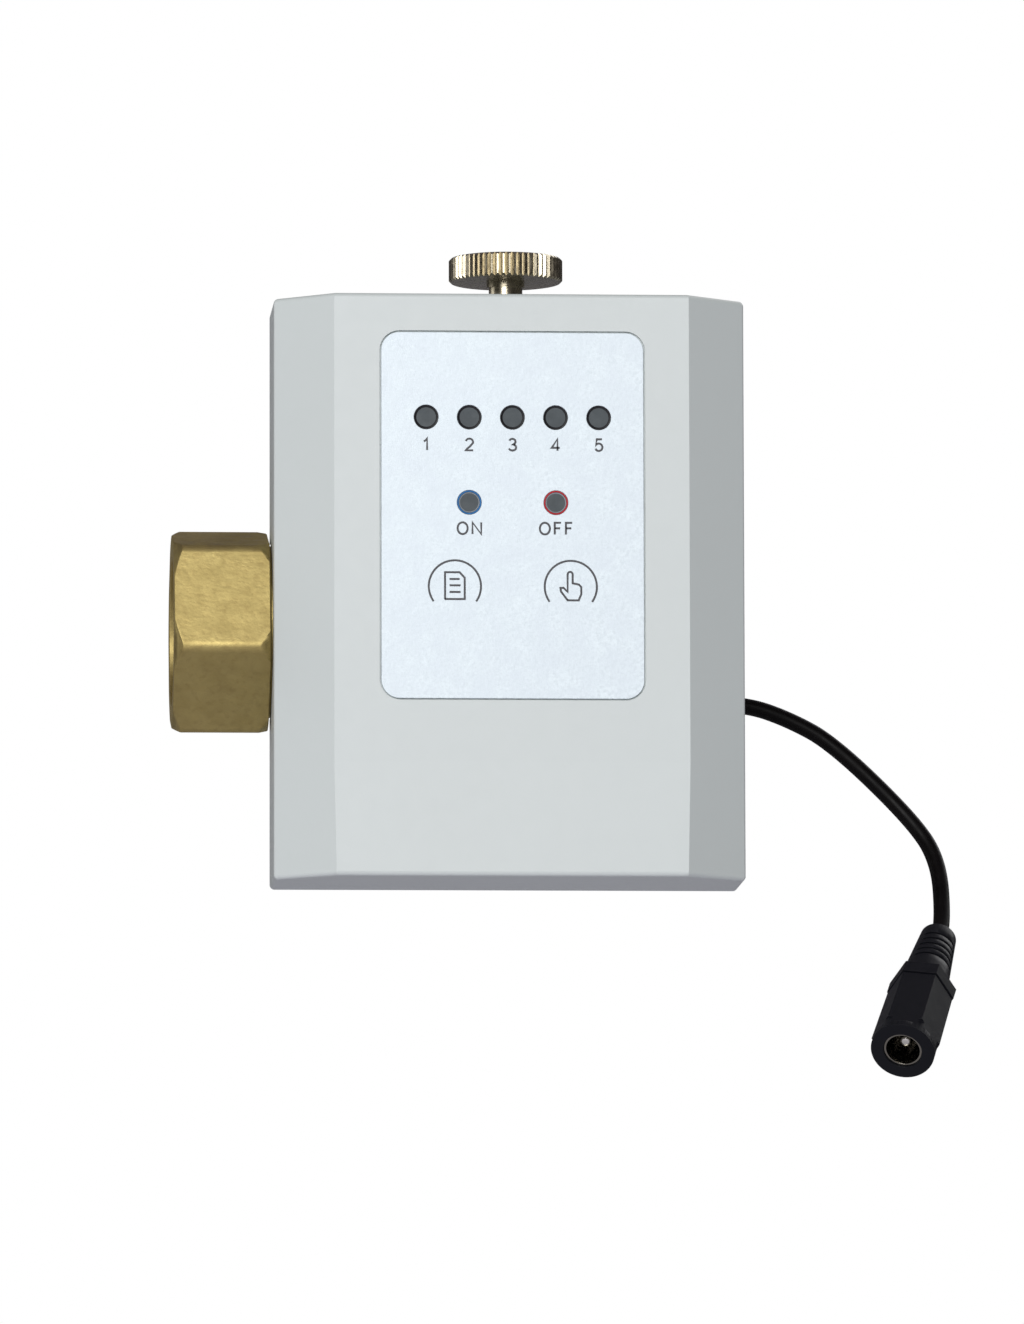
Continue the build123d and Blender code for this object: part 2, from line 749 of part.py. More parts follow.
def lens(places, rim):
    """Flat lenses flush in the label, each on a round light guide that ends before its LED."""
    with BuildPart() as piece:
        with BuildSketch(facing(label_thickness - front_face)):
            with Locations(*places):
                Circle(lens_radius - rim)
        extrude(amount=label_thickness)
        with BuildSketch(facing(label_thickness - front_face)):
            with Locations(*places):
                Circle(guide_radius)
        extrude(amount=-(cover_wall - label_thickness))
    return piece


save(lens(zone_places, 0), "zone_lenses")
for place, name in zip(lamp_places, ("on_lens", "off_lens")):
    save(lens([place], lamp_ring_width + thread_gap), name)
for place, name in zip(lamp_places, ("on_ring", "off_ring")):
    with BuildPart() as ring:
        with BuildSketch(facing(label_thickness - front_face)):
            with Locations(place):
                Circle(lens_radius)
                Circle(lens_radius - lamp_ring_width, mode=Mode.SUBTRACT)
        extrude(amount=label_thickness)
    save(ring, name)

# Keys: a plunger under the label and the switch button that it drives
switch_front = board_front + switch_thickness
key_back = switch_front + 2 * key_travel
for place, side in zip(key_places, ("left", "right")):
    with BuildPart() as key:
        with BuildSketch(facing(label_thickness - front_face + seat_gap / 2)):
            with Locations(place):
                Circle(key_radius)
        extrude(amount=-(front_face - label_thickness - seat_gap / 2 - key_back))
        with BuildSketch(facing(-key_back)):
            with Locations(place):
                Circle(key_radius + key_flange)
        extrude(amount=key_flange_thickness)
    save(key, f"{side}_key")
    with BuildPart() as button:
        with BuildSketch(facing(-board_front - switch_thickness / 2)):
            with Locations(place):
                Circle(switch_button_radius)
        extrude(amount=key_back - board_front - switch_thickness / 2)
    save(button, f"{side}_switch_button")

with BuildPart() as tact_switches:
    with BuildSketch(facing(-board_front)):
        with Locations(*key_places):
            Rectangle(switch_size, switch_size)
    extrude(amount=switch_thickness)
    with BuildSketch(facing(-board_front - switch_thickness / 4)):
        with Locations(*key_places):
            Circle(switch_button_radius + key_gap)
    extrude(amount=switch_thickness, mode=Mode.SUBTRACT)
save(tact_switches, "tact_switches")

# Circuit board and what is soldered to it
with BuildPart() as control_board:
    with BuildSketch(facing(-board_back)):
        with Locations((label_x, board_z)):
            Rectangle(board_width, board_height)
        with Locations(*board_screw_places):
            Circle(board_screw_radius + seat_gap, mode=Mode.SUBTRACT)
    extrude(amount=board_thickness)
save(control_board, "control_board")

with BuildPart() as board_screws:
    with BuildSketch(facing(-board_back)):
        with Locations(*board_screw_places):
            Circle(board_screw_radius)
    extrude(amount=board_thickness + board_standoff - seat_gap)
    with BuildSketch(facing(-board_back)):
        with Locations(*board_screw_places):
            Circle(board_post_radius)
    extrude(amount=-board_screw_radius)
save(board_screws, "board_screws")

with BuildPart() as indicator_leds:
    with BuildSketch(facing(-board_front)):
        with Locations(*zone_places, *lamp_places):
            Rectangle(led_size, led_size)
    extrude(amount=led_thickness)
save(indicator_leds, "indicator_leds")

board_left = label_x - board_width / 2
board_bottom = board_top - board_height
lower_parts_z = board_bottom + board_screw_inset + board_post_radius + part_margin / 2 + radio_height / 2
with BuildPart() as radio_module:
    with BuildSketch(facing(-board_back)):
        with Locations((board_left + part_margin + radio_width / 2, lower_parts_z)):
            Rectangle(radio_width, radio_height)
    extrude(amount=-radio_thickness)
save(radio_module, "radio_module")

with BuildPart() as buzzer:
    with BuildSketch(facing(-board_back)):
        with Locations((board_left + board_width - part_margin - buzzer_radius, lower_parts_z)):
            Circle(buzzer_radius)
    extrude(amount=-buzzer_height)
save(buzzer, "buzzer")

with BuildPart() as microcontroller:
    with BuildSketch(facing(-board_back)):
        with Locations((label_x, zone_z - chip_drop)):
            Rectangle(chip_size, chip_size)
    extrude(amount=-chip_thickness)
save(microcontroller, "microcontroller")

power_socket_x = board_left + 1.5 * part_margin + radio_width + socket_height / 2
motor_socket_z = board_top - part_margin / 4 - socket_height / 2
with BuildPart() as board_sockets:
    with BuildSketch(facing(-board_back)):
        with Locations((power_socket_x, lower_parts_z)):
            Rectangle(socket_height, socket_width)
        with Locations((label_x, motor_socket_z)):
            Rectangle(socket_width, socket_height)
    extrude(amount=-socket_depth)
save(board_sockets, "board_sockets")


# Gears
def involute(base, r):
    """The involute function of the pressure angle at radius r."""
    angle = math.acos(base / r)
    return math.tan(angle) - angle


def gear_outline(teeth, phase):
    """Stub involute teeth; phase is the bearing of one tooth's middle, in degrees."""
    pitch = gear_module * teeth / 2
    base = pitch * math.cos(math.radians(pressure_angle))
    tip = pitch + addendum_share * gear_module
    root = pitch - dedendum_share * gear_module
    half_tooth = (math.pi * gear_module / 2 - tooth_backlash) / (2 * pitch)
    flank = [max(root, base) + (tip - max(root, base)) * i / 5 for i in range(6)]
    edge = [(r, half_tooth + involute(base, pitch) - involute(base, r)) for r in flank]
    if root < base:
        edge = [(root, edge[0][1])] + edge
    points = []
    for tooth in range(teeth):
        middle = math.radians(phase) + 2 * math.pi * tooth / teeth
        for r, turn in edge:
            points.append((r * math.cos(middle - turn), r * math.sin(middle - turn)))
        for r, turn in reversed(edge):
            points.append((r * math.cos(middle + turn), r * math.sin(middle + turn)))
    return points


def gap_phase(teeth, bearing):
    """The phase that puts a gap, not a tooth, at a bearing."""
    return bearing + 180 / teeth


with BuildPart() as output_gear:
    with BuildSketch(on_stem(output_z)):
        with BuildLine():
            Polyline(*gear_outline(output_teeth, idler_angle), close=True)
        make_face()
    extrude(amount=output_face)
    with BuildSketch(on_stem(output_z)):
        Circle(lower_hub_radius)
    extrude(amount=-lower_hub_height)
    with BuildSketch(on_stem(output_z + output_face)):
        Circle(hub_radius)
    extrude(amount=hub_rise)
    with BuildSketch(on_stem(output_z - lower_hub_height)):
        Circle(stem_radius + running_gap)
    extrude(amount=hub_top - output_z + lower_hub_height, mode=Mode.SUBTRACT)
    relief_top = hub_top - clutch_roof
    relief_height = knob_travel + 2 * clutch_pin_radius - clutch_roof + 2 * clutch_slot_gap
    with BuildSketch(on_stem(relief_top)):
        Circle(relief_radius)
    extrude(amount=-relief_height, mode=Mode.SUBTRACT)
    with BuildSketch(on_stem(hub_top)):
        Rectangle(4 * hub_radius, 2 * (clutch_pin_radius + clutch_slot_gap))
    extrude(amount=-clutch_roof - thread_gap, mode=Mode.SUBTRACT)
save(output_gear, "output_gear")

with BuildPart() as idler_gear:
    idler_plane = Plane((idler_x, idler_y, wheel_z))
    with BuildSketch(idler_plane):
        with BuildLine():
            Polyline(*gear_outline(wheel_teeth, motor_angle), close=True)
        make_face()
    extrude(amount=wheel_face)
    with BuildSketch(idler_plane.offset(wheel_face)):
        with BuildLine():
            Polyline(*gear_outline(pinion_teeth, gap_phase(pinion_teeth, idler_angle + 180)), close=True)
        make_face()
    extrude(amount=gear_step + output_face + pinion_overlap)
    with BuildSketch(idler_plane):
        Circle(axle_radius + running_gap)
    extrude(amount=plate_space, mode=Mode.SUBTRACT)
save(idler_gear, "idler_gear")

with BuildPart() as motor_pinion:
    motor_plane = Plane((motor_x, motor_y, wheel_z))
    with BuildSketch(motor_plane):
        with BuildLine():
            Polyline(*gear_outline(pinion_teeth, gap_phase(pinion_teeth, motor_angle + 180)), close=True)
        make_face()
        Circle(motor_shaft_radius, mode=Mode.SUBTRACT)
    extrude(amount=wheel_face)
save(motor_pinion, "motor_pinion")

with BuildPart() as motor_shaft:
    with BuildSketch(motor_plane.offset(-wheel_lift / 2)):
        Circle(motor_shaft_radius)
    extrude(amount=upper_plate_top - wheel_z + wheel_lift / 2 + motor_head_height / 2)
save(motor_shaft, "motor_shaft")

with BuildPart() as idler_axle:
    with BuildSketch(Plane((idler_x, idler_y, lower_plate_z))):
        Circle(axle_radius)
    extrude(amount=upper_plate_top - lower_plate_z)
save(idler_axle, "idler_axle")

# Gearbox plates on riveted posts
post_places = [
    (
        plate_mid_x + side * (plate_length / 2 - post_inset),
        plate_mid_y + end * (plate_depth / 2 - post_inset),
    )
    for side in (-1, 1)
    for end in (-1, 1)
]
motor_screw_places = [(motor_x, motor_y + side * motor_screw_circle) for side in (-1, 1)]
screw_cone = plate_screw_head_radius - plate_screw_radius


def plate(z):
    """A steel plate of the gearbox, with the holes that both plates share."""
    with BuildPart() as piece:
        with BuildSketch(level(z)):
            with Locations((plate_mid_x, plate_mid_y)):
                RectangleRounded(plate_length, plate_depth, plate_corner)
            with Locations(*post_places):
                Circle(post_pin_radius + thread_gap, mode=Mode.SUBTRACT)
            with Locations((idler_x, idler_y)):
                Circle(axle_radius + thread_gap, mode=Mode.SUBTRACT)
            with Locations((ball_x, 0)):
                Circle(hub_radius + 6 * seat_gap, mode=Mode.SUBTRACT)
        extrude(amount=plate_thickness)
    return piece


lower_blank = plate(lower_plate_z)
with BuildPart() as lower_plate:
    add(lower_blank.part)
    with BuildSketch(level(lower_plate_z)):
        with Locations(*plate_screw_places):
            Circle(plate_screw_radius + seat_gap)
    extrude(amount=plate_thickness, mode=Mode.SUBTRACT)
    for place in plate_screw_places:
        with Locations((place[0], place[1], lower_plate_z + plate_thickness)):
            Cone(
                bottom_radius=plate_screw_radius + seat_gap,
                top_radius=plate_screw_head_radius + seat_gap,
                height=screw_cone,
                align=(Align.CENTER, Align.CENTER, Align.MAX),
                mode=Mode.SUBTRACT,
            )
save(lower_plate, "lower_plate")

upper_blank = plate(upper_plate_z)
with BuildPart() as upper_plate:
    add(upper_blank.part)
    with BuildSketch(level(upper_plate_z)):
        with Locations((motor_x, motor_y)):
            Circle(2 * motor_shaft_radius + seat_gap)
        with Locations(*motor_screw_places):
            Circle(motor_shaft_radius + seat_gap)
    extrude(amount=plate_thickness, mode=Mode.SUBTRACT)
save(upper_plate, "upper_plate")

with BuildPart() as plate_screws:
    with BuildSketch(level(lower_plate_z + plate_thickness - screw_cone)):
        with Locations(*plate_screw_places):
            Circle(plate_screw_radius)
    extrude(amount=-(plate_screw_length - seat_gap - plate_thickness / 2))
    for place in plate_screw_places:
        with Locations((place[0], place[1], lower_plate_z + plate_thickness)):
            Cone(
                bottom_radius=plate_screw_radius,
                top_radius=plate_screw_head_radius,
                height=screw_cone,
                align=(Align.CENTER, Align.CENTER, Align.MAX),
            )
save(plate_screws, "plate_screws")

# Drive motor standing on the upper plate
with BuildPart() as motor_gearhead:
    with BuildSketch(Plane((motor_x, motor_y, upper_plate_top))):
        Circle(motor_radius)
        Circle(motor_shaft_radius + 2 * seat_gap, mode=Mode.SUBTRACT)
    extrude(amount=motor_head_height)
    with BuildSketch(level(upper_plate_top)):
        with Locations(*motor_screw_places):
            Circle(motor_shaft_radius)
    extrude(amount=motor_head_height / 2, mode=Mode.SUBTRACT)
save(motor_gearhead, "motor_gearhead")

with BuildPart() as drive_motor:
    with BuildSketch(Plane((motor_x, motor_y, upper_plate_top + motor_head_height))):
        Circle(motor_radius)
        Rectangle(2 * motor_radius, motor_flat_width, mode=Mode.INTERSECT)
    extrude(amount=motor_can_height)
save(drive_motor, "drive_motor")

with BuildPart() as motor_screws:
    with BuildSketch(level(upper_plate_z)):
        with Locations(*motor_screw_places):
            Circle(motor_shaft_radius - thread_gap)
    extrude(amount=plate_thickness + motor_head_height / 2 - seat_gap)
    with BuildSketch(level(upper_plate_z)):
        with Locations(*motor_screw_places):
            Circle(2 * motor_shaft_radius)
    extrude(amount=-motor_shaft_radius)
save(motor_screws, "motor_screws")

# Hand knob: pressed down, its shaft takes the clutch pin out of the output gear
with BuildPart() as hand_knob:
    knurls = []
    for tooth in range(knurl_count):
        for share, depth in zip(knurl_shares, (0, 0, knurl_depth)):
            turn = 2 * math.pi * (tooth + share) / knurl_count
            r = knob_radius - depth
            knurls.append((r * math.cos(turn), r * math.sin(turn)))
    with BuildSketch(on_stem(knob_z)):
        with BuildLine():
            Polyline(*knurls, close=True)
        make_face()
    extrude(amount=knob_thickness)
    with BuildSketch(Plane.XZ):
        with BuildLine():
            Polyline(
                (ball_x, knob_z),
                (ball_x + knob_radius - knob_chamfer, knob_z),
                (ball_x + knob_radius, knob_z + knob_chamfer),
                (ball_x + knob_radius, knob_z + knob_thickness - knob_chamfer),
                (ball_x + knob_radius - knob_chamfer, knob_z + knob_thickness),
                (ball_x, knob_z + knob_thickness),
                close=True,
            )
        make_face()
    revolve(axis=Axis((ball_x, 0, 0), (0, 0, 1)), mode=Mode.INTERSECT)
    with BuildSketch(on_stem(knob_z)):
        Circle(collar_radius + thread_gap)
    extrude(amount=-collar_height)
    with BuildSketch(on_stem(knob_z - collar_height)):
        Circle(knob_shaft_radius)
    extrude(amount=collar_height + knob_thickness / 2, mode=Mode.SUBTRACT)
save(hand_knob, "hand_knob")

shaft_bottom = pin_z - 2 * clutch_pin_radius
with BuildPart() as knob_shaft:
    with BuildSketch(on_stem(shaft_bottom)):
        Circle(knob_shaft_radius)
    extrude(amount=knob_z + knob_thickness / 2 - shaft_bottom)
    with BuildSketch(across(ball_x - clutch_pin_length / 2)):
        with Locations((0, pin_z)):
            Circle(clutch_pin_radius)
    extrude(amount=clutch_pin_length, mode=Mode.SUBTRACT)
save(knob_shaft, "knob_shaft")

with BuildPart() as clutch_pin:
    with BuildSketch(across(ball_x - clutch_pin_length / 2)):
        with Locations((0, pin_z)):
            Circle(clutch_pin_radius)
    extrude(amount=clutch_pin_length)
save(clutch_pin, "clutch_pin")

with BuildPart() as clutch_spring:
    spring_foot = spring_floor + spring_wire + seat_gap
    spring_height = shaft_bottom - spring_floor - 2 * (spring_wire + seat_gap)
    with BuildLine() as coil:
        Helix(spring_height / spring_turns, spring_height, spring_radius, center=(ball_x, 0, spring_foot))
    with BuildSketch(Plane(origin=coil.line @ 0, z_dir=coil.line % 0)):
        Circle(spring_wire)
    sweep()
save(clutch_spring, "clutch_spring")

with BuildPart() as shaft_bush:
    with BuildSketch(on_stem(rear_top - cover_wall - bush_flange_thickness - seat_gap)):
        Circle(bush_radius + bush_flange)
    extrude(amount=bush_flange_thickness)
    with BuildSketch(on_stem(rear_top - cover_wall - bush_flange_thickness - seat_gap)):
        Circle(bush_radius)
    extrude(amount=cover_above_axis - rear_top + cover_wall + bush_flange_thickness + 2 * seat_gap)
    with BuildSketch(on_stem(0)):
        Circle(knob_shaft_radius + running_gap)
    extrude(amount=2 * cover_above_axis, mode=Mode.SUBTRACT)
save(shaft_bush, "shaft_bush")

# Position sensing: a magnet turns with the stem under two sensors
with BuildPart() as position_disc:
    with BuildSketch(on_stem(disc_z)):
        Circle(disc_radius)
        Circle(stem_radius + thread_gap, mode=Mode.SUBTRACT)
    extrude(amount=disc_thickness)
    magnet_turn = math.radians(45)
    magnet_place = (magnet_circle * math.cos(magnet_turn), magnet_circle * math.sin(magnet_turn))
    with BuildSketch(on_stem(disc_z + disc_thickness)):
        with Locations(magnet_place):
            Circle(magnet_radius + thread_gap)
    extrude(amount=-magnet_thickness, mode=Mode.SUBTRACT)
save(position_disc, "position_disc")

with BuildPart() as position_magnet:
    with BuildSketch(on_stem(disc_z + disc_thickness)):
        with Locations(magnet_place):
            Circle(magnet_radius)
    extrude(amount=-magnet_thickness)
save(position_magnet, "position_magnet")

sensor_side = magnet_circle * math.cos(math.radians(45))
sensor_board_z = sensor_z + sensor_thickness
sensor_board_x = ball_x + sensor_side - sensor_size / 2 + sensor_board_width / 2
with BuildPart() as sensor_board:
    with BuildSketch(on_stem(sensor_z)):
        with Locations((sensor_side, -sensor_side), (sensor_side, sensor_side)):
            Rectangle(sensor_size, sensor_size)
    extrude(amount=sensor_thickness)
    with BuildSketch(level(sensor_board_z)):
        with Locations((sensor_board_x, 0)):
            Rectangle(sensor_board_width, sensor_board_length)
        with Locations((ball_x, 0)):
            Circle(stem_radius + overrun, mode=Mode.SUBTRACT)
    extrude(amount=sensor_board_thickness)
save(sensor_board, "sensor_board")

# Gearbox posts, and the two posts that carry the sensor board
with BuildPart() as gearbox_posts:
    with BuildSketch(level(lower_plate_z + plate_thickness)):
        with Locations(*post_places):
            Circle(post_radius)
    extrude(amount=plate_space)
    with BuildSketch(level(lower_plate_z)):
        with Locations(*post_places):
            Circle(post_pin_radius)
    extrude(amount=upper_plate_top - lower_plate_z)
    with BuildSketch(level(upper_plate_top)):
        with Locations(*[(sensor_board_x, side * sensor_post_spacing / 2) for side in (-1, 1)]):
            Circle(sensor_post_radius)
    extrude(amount=sensor_board_z - upper_plate_top)
save(gearbox_posts, "gearbox_posts")


# Power lead
def run_radii(route):
    """For each corner, the largest arc that its two runs allow."""
    radii = []
    for before, corner, after in zip(route, route[1:], route[2:]):
        one, two = Vector(*corner) - Vector(*before), Vector(*after) - Vector(*corner)
        half_turn = math.radians(one.get_angle(two)) / 2
        radii.append(0.45 * min(one.length, two.length) / math.tan(half_turn))
    return radii


def tube(route, radius):
    """A round tube along straight runs joined by tangent arcs."""
    with BuildPart() as piece:
        with BuildLine() as path:
            FilletPolyline(*route, radius=run_radii(route))
        spine = path.wire()
        with BuildSketch(Plane(origin=spine @ 0, z_dir=spine % 0)):
            Circle(radius)
        sweep()
    share = piece.part.volume / (math.pi * radius**2 * spine.length)
    print(f"tube length {spine.length:.2f}, volume over section times length {share:.4f}")
    print("tube radii", [round(r, 1) for r in run_radii(route)])
    return piece


jack_start = Vector(*jack_place)
jack_axis = Vector(*jack_direction).normalized()
cord_route = [
    (grommet_x, cord_exit_back, -cord_exit_drop),
    (94.9, 17.5, -9.6),
    (101.9, 17.5, -12.0),
    (109.1, 17.3, -15.95),
    (121.45, 16.0, -28.1),
    (126.1, 13.2, -35.45),
    tuple(jack_start - jack_axis * cord_last_run),
    tuple(jack_start),
]
save(tube(cord_route, cord_radius), "power_cord")

with BuildPart() as cord_grommet:
    with BuildSketch(across(rear_right)):
        with Locations((cord_exit_back, -cord_exit_drop)):
            Circle(grommet_radius + grommet_flange)
    extrude(amount=grommet_flange_thickness)
    with BuildSketch(across(rear_right)):
        with Locations((cord_exit_back, -cord_exit_drop)):
            Circle(grommet_radius)
    extrude(amount=-cover_wall)
    with BuildSketch(across(rear_right - cover_wall)):
        with Locations((cord_exit_back, -cord_exit_drop)):
            Circle(grommet_radius + grommet_flange / 2)
    extrude(amount=-grommet_flange_thickness)
    with BuildSketch(across(grommet_x)):
        with Locations((cord_exit_back, -cord_exit_drop)):
            Circle(cord_radius + thread_gap)
    extrude(amount=-(cover_wall + 2 * grommet_flange_thickness), mode=Mode.SUBTRACT)
save(cord_grommet, "cord_grommet")

# The same lead inside the case, from the grommet to the socket on the board
inner_route = [
    (grommet_x, cord_exit_back, -cord_exit_drop),
    (grommet_x - 9.5, cord_exit_back, -cord_exit_drop),
    (grommet_x - 14.0, 12.0, -22.0),
    (grommet_x - 22.0, 1.0, -26.5),
    (power_socket_x, 0.0, lower_parts_z),
    (power_socket_x, socket_depth - board_back, lower_parts_z),
]
save(tube(inner_route, cord_radius), "inner_lead")

# Two thin wires, side by side, from the motor to its socket on the board
motor_front = motor_y - motor_flat_width / 2
with BuildPart() as motor_leads:
    for step in (-lead_pitch / 2, lead_pitch / 2):
        wire_route = [
            (motor_x, motor_front, lead_start_z + step),
            (motor_x, motor_front - 4.5, lead_start_z + step),
            (motor_x + 6.0, motor_front - 7.8, lead_start_z - 5.0 + step),
            (motor_x + 18.5, motor_front - 7.5, motor_socket_z + step),
            (label_x, motor_front - 6.8, motor_socket_z + step),
            (label_x, socket_depth - board_back, motor_socket_z + step),
        ]
        add(tube(wire_route, lead_radius).part)
save(motor_leads, "motor_leads")

# Socket on the lead's end: a grooved strain relief, a hexagonal body and a round front
jack_plane = Plane(origin=jack_start, x_dir=(1, 0, 0), z_dir=jack_axis)


def on_jack(distance):
    return jack_plane.offset(distance)


with BuildPart() as jack_strain_relief:
    with BuildSketch(Plane(origin=jack_start, x_dir=jack_plane.x_dir, z_dir=-jack_plane.y_dir)):
        with BuildLine():
            Polyline(
                (0, 0),
                (relief_end_radius - relief_end_rounding, 0),
                (relief_end_radius, relief_end_rounding),
                (relief_wide_radius, jack_body_start),
                (0, jack_body_start),
                close=True,
            )
        make_face()
    revolve(axis=Axis(jack_start, jack_axis))
    for ring in range(relief_groove_count):
        with BuildSketch(on_jack(relief_groove_start + ring * relief_groove_pitch)):
            Circle(relief_wide_radius + overrun)
            Circle(relief_end_radius - relief_groove_depth, mode=Mode.SUBTRACT)
            Rectangle(
                4 * relief_wide_radius, relief_rib_width, rotation=relief_rib_bearing, mode=Mode.SUBTRACT
            )
        extrude(amount=relief_groove_width, mode=Mode.SUBTRACT)
save(jack_strain_relief, "jack_strain_relief")

with BuildPart() as jack_body:
    with BuildSketch(on_jack(jack_body_start)):
        RegularPolygon(jack_collar_flats / 2, 6, major_radius=False, rotation=jack_turn)
    extrude(amount=jack_collar_length)
    with BuildSketch(on_jack(jack_body_start + jack_collar_length)):
        RegularPolygon(jack_flats / 2 - jack_seam, 6, major_radius=False, rotation=jack_turn)
    extrude(amount=jack_seam)
    with BuildSketch(on_jack(jack_body_start + jack_collar_length + jack_seam)):
        RegularPolygon(jack_flats / 2, 6, major_radius=False, rotation=jack_turn)
    extrude(amount=jack_length - jack_body_start - jack_collar_length - jack_seam, taper=-jack_draft)
    with BuildSketch(on_jack(jack_length - jack_ring_length)):
        Circle(2 * jack_ring_radius)
        Circle(jack_ring_radius, mode=Mode.SUBTRACT)
    extrude(amount=jack_ring_length, mode=Mode.SUBTRACT)
    with BuildSketch(on_jack(jack_length - jack_ring_length / 2)):
        Circle(jack_ring_radius)
    extrude(amount=jack_ring_length / 2)
    with BuildSketch(on_jack(jack_length)):
        Circle(jack_bore_radius)
    extrude(amount=-jack_bore_depth, mode=Mode.SUBTRACT)
save(jack_body, "jack_body")

with BuildPart() as jack_sleeve:
    with BuildSketch(on_jack(jack_length - jack_bore_depth)):
        Circle(jack_bore_radius - thread_gap)
        Circle(jack_bore_radius - thread_gap - jack_sleeve_wall, mode=Mode.SUBTRACT)
    extrude(amount=jack_bore_depth - jack_sleeve_wall)
save(jack_sleeve, "jack_sleeve")

with BuildPart() as jack_pin:
    pin_base = jack_length - jack_bore_depth
    with BuildSketch(on_jack(pin_base)):
        Circle(jack_pin_foot)
    extrude(amount=jack_sleeve_wall)
    with BuildSketch(on_jack(pin_base)):
        Circle(jack_pin_radius)
    extrude(amount=jack_bore_depth - jack_pin_recess)
    tip_edges = jack_pin.faces().sort_by(Axis(jack_start, jack_axis))[-1].edges()
    fillet(tip_edges, radius=0.7 * jack_pin_radius)
save(jack_pin, "jack_pin")
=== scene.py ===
"""Looks of the smart water valve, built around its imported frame. Metres, in the row frame."""

import json
import math

import bmesh
import bpy
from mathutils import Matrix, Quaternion, Vector

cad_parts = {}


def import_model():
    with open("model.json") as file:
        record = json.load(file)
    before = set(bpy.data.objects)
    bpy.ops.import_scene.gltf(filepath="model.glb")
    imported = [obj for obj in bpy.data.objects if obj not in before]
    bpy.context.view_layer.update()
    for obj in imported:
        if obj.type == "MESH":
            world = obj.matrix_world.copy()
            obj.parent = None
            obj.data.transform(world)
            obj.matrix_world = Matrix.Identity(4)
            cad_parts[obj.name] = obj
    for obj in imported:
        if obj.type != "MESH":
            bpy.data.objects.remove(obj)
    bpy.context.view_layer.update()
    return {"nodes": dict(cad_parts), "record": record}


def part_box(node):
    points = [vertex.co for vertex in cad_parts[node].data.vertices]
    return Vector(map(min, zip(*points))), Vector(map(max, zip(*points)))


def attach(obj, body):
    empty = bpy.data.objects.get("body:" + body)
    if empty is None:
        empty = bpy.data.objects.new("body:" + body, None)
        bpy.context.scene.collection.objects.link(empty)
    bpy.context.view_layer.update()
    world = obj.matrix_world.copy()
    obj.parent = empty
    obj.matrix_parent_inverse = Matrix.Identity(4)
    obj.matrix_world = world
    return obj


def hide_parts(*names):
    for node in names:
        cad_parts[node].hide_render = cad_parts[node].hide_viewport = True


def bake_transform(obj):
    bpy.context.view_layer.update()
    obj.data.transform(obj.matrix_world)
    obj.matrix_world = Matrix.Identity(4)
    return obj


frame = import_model()
nodes = frame["nodes"]

mm = 0.001

# Camera
image_height = 1324          # pixels
focal_pixels = 12000
sensor = 36.0                # millimetres
camera_place = Vector((-59.61, -1935.63, -222.19)) * mm
camera_look = Vector((0.05894, 0.99202, 0.11147))
camera_roll = -0.13          # degrees
camera_reach = 20

# Label
label_low, label_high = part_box("label_plate")
label_face = label_low.y
ink_thickness = 0.02 * mm
ink_sink = 0.01 * mm
stroke_width = 0.33 * mm
glyph_height = 1.9 * mm
letter_gap = 0.78 * mm
numeral_drop = 5.38 * mm     # from a lamp's middle to the foot of the print below it
word_drop = 5.15 * mm
key_arc_radius = 4.2 * mm
key_arc_start = 215.5        # degrees
key_arc_end = -35.5
icon_size = 2.55 * mm        # half its height
icon_rise = 0.1 * mm
zone_count = 5
zone_pitch = 6.95 * mm
lamp_spacing = 13.95 * mm
key_spacing = 18.65 * mm
label_mid = (label_low.x + label_high.x) / 2
zone_z = label_high.z - 13.8 * mm
lamp_z = label_high.z - 27.6 * mm
key_z = label_high.z - 41.2 * mm


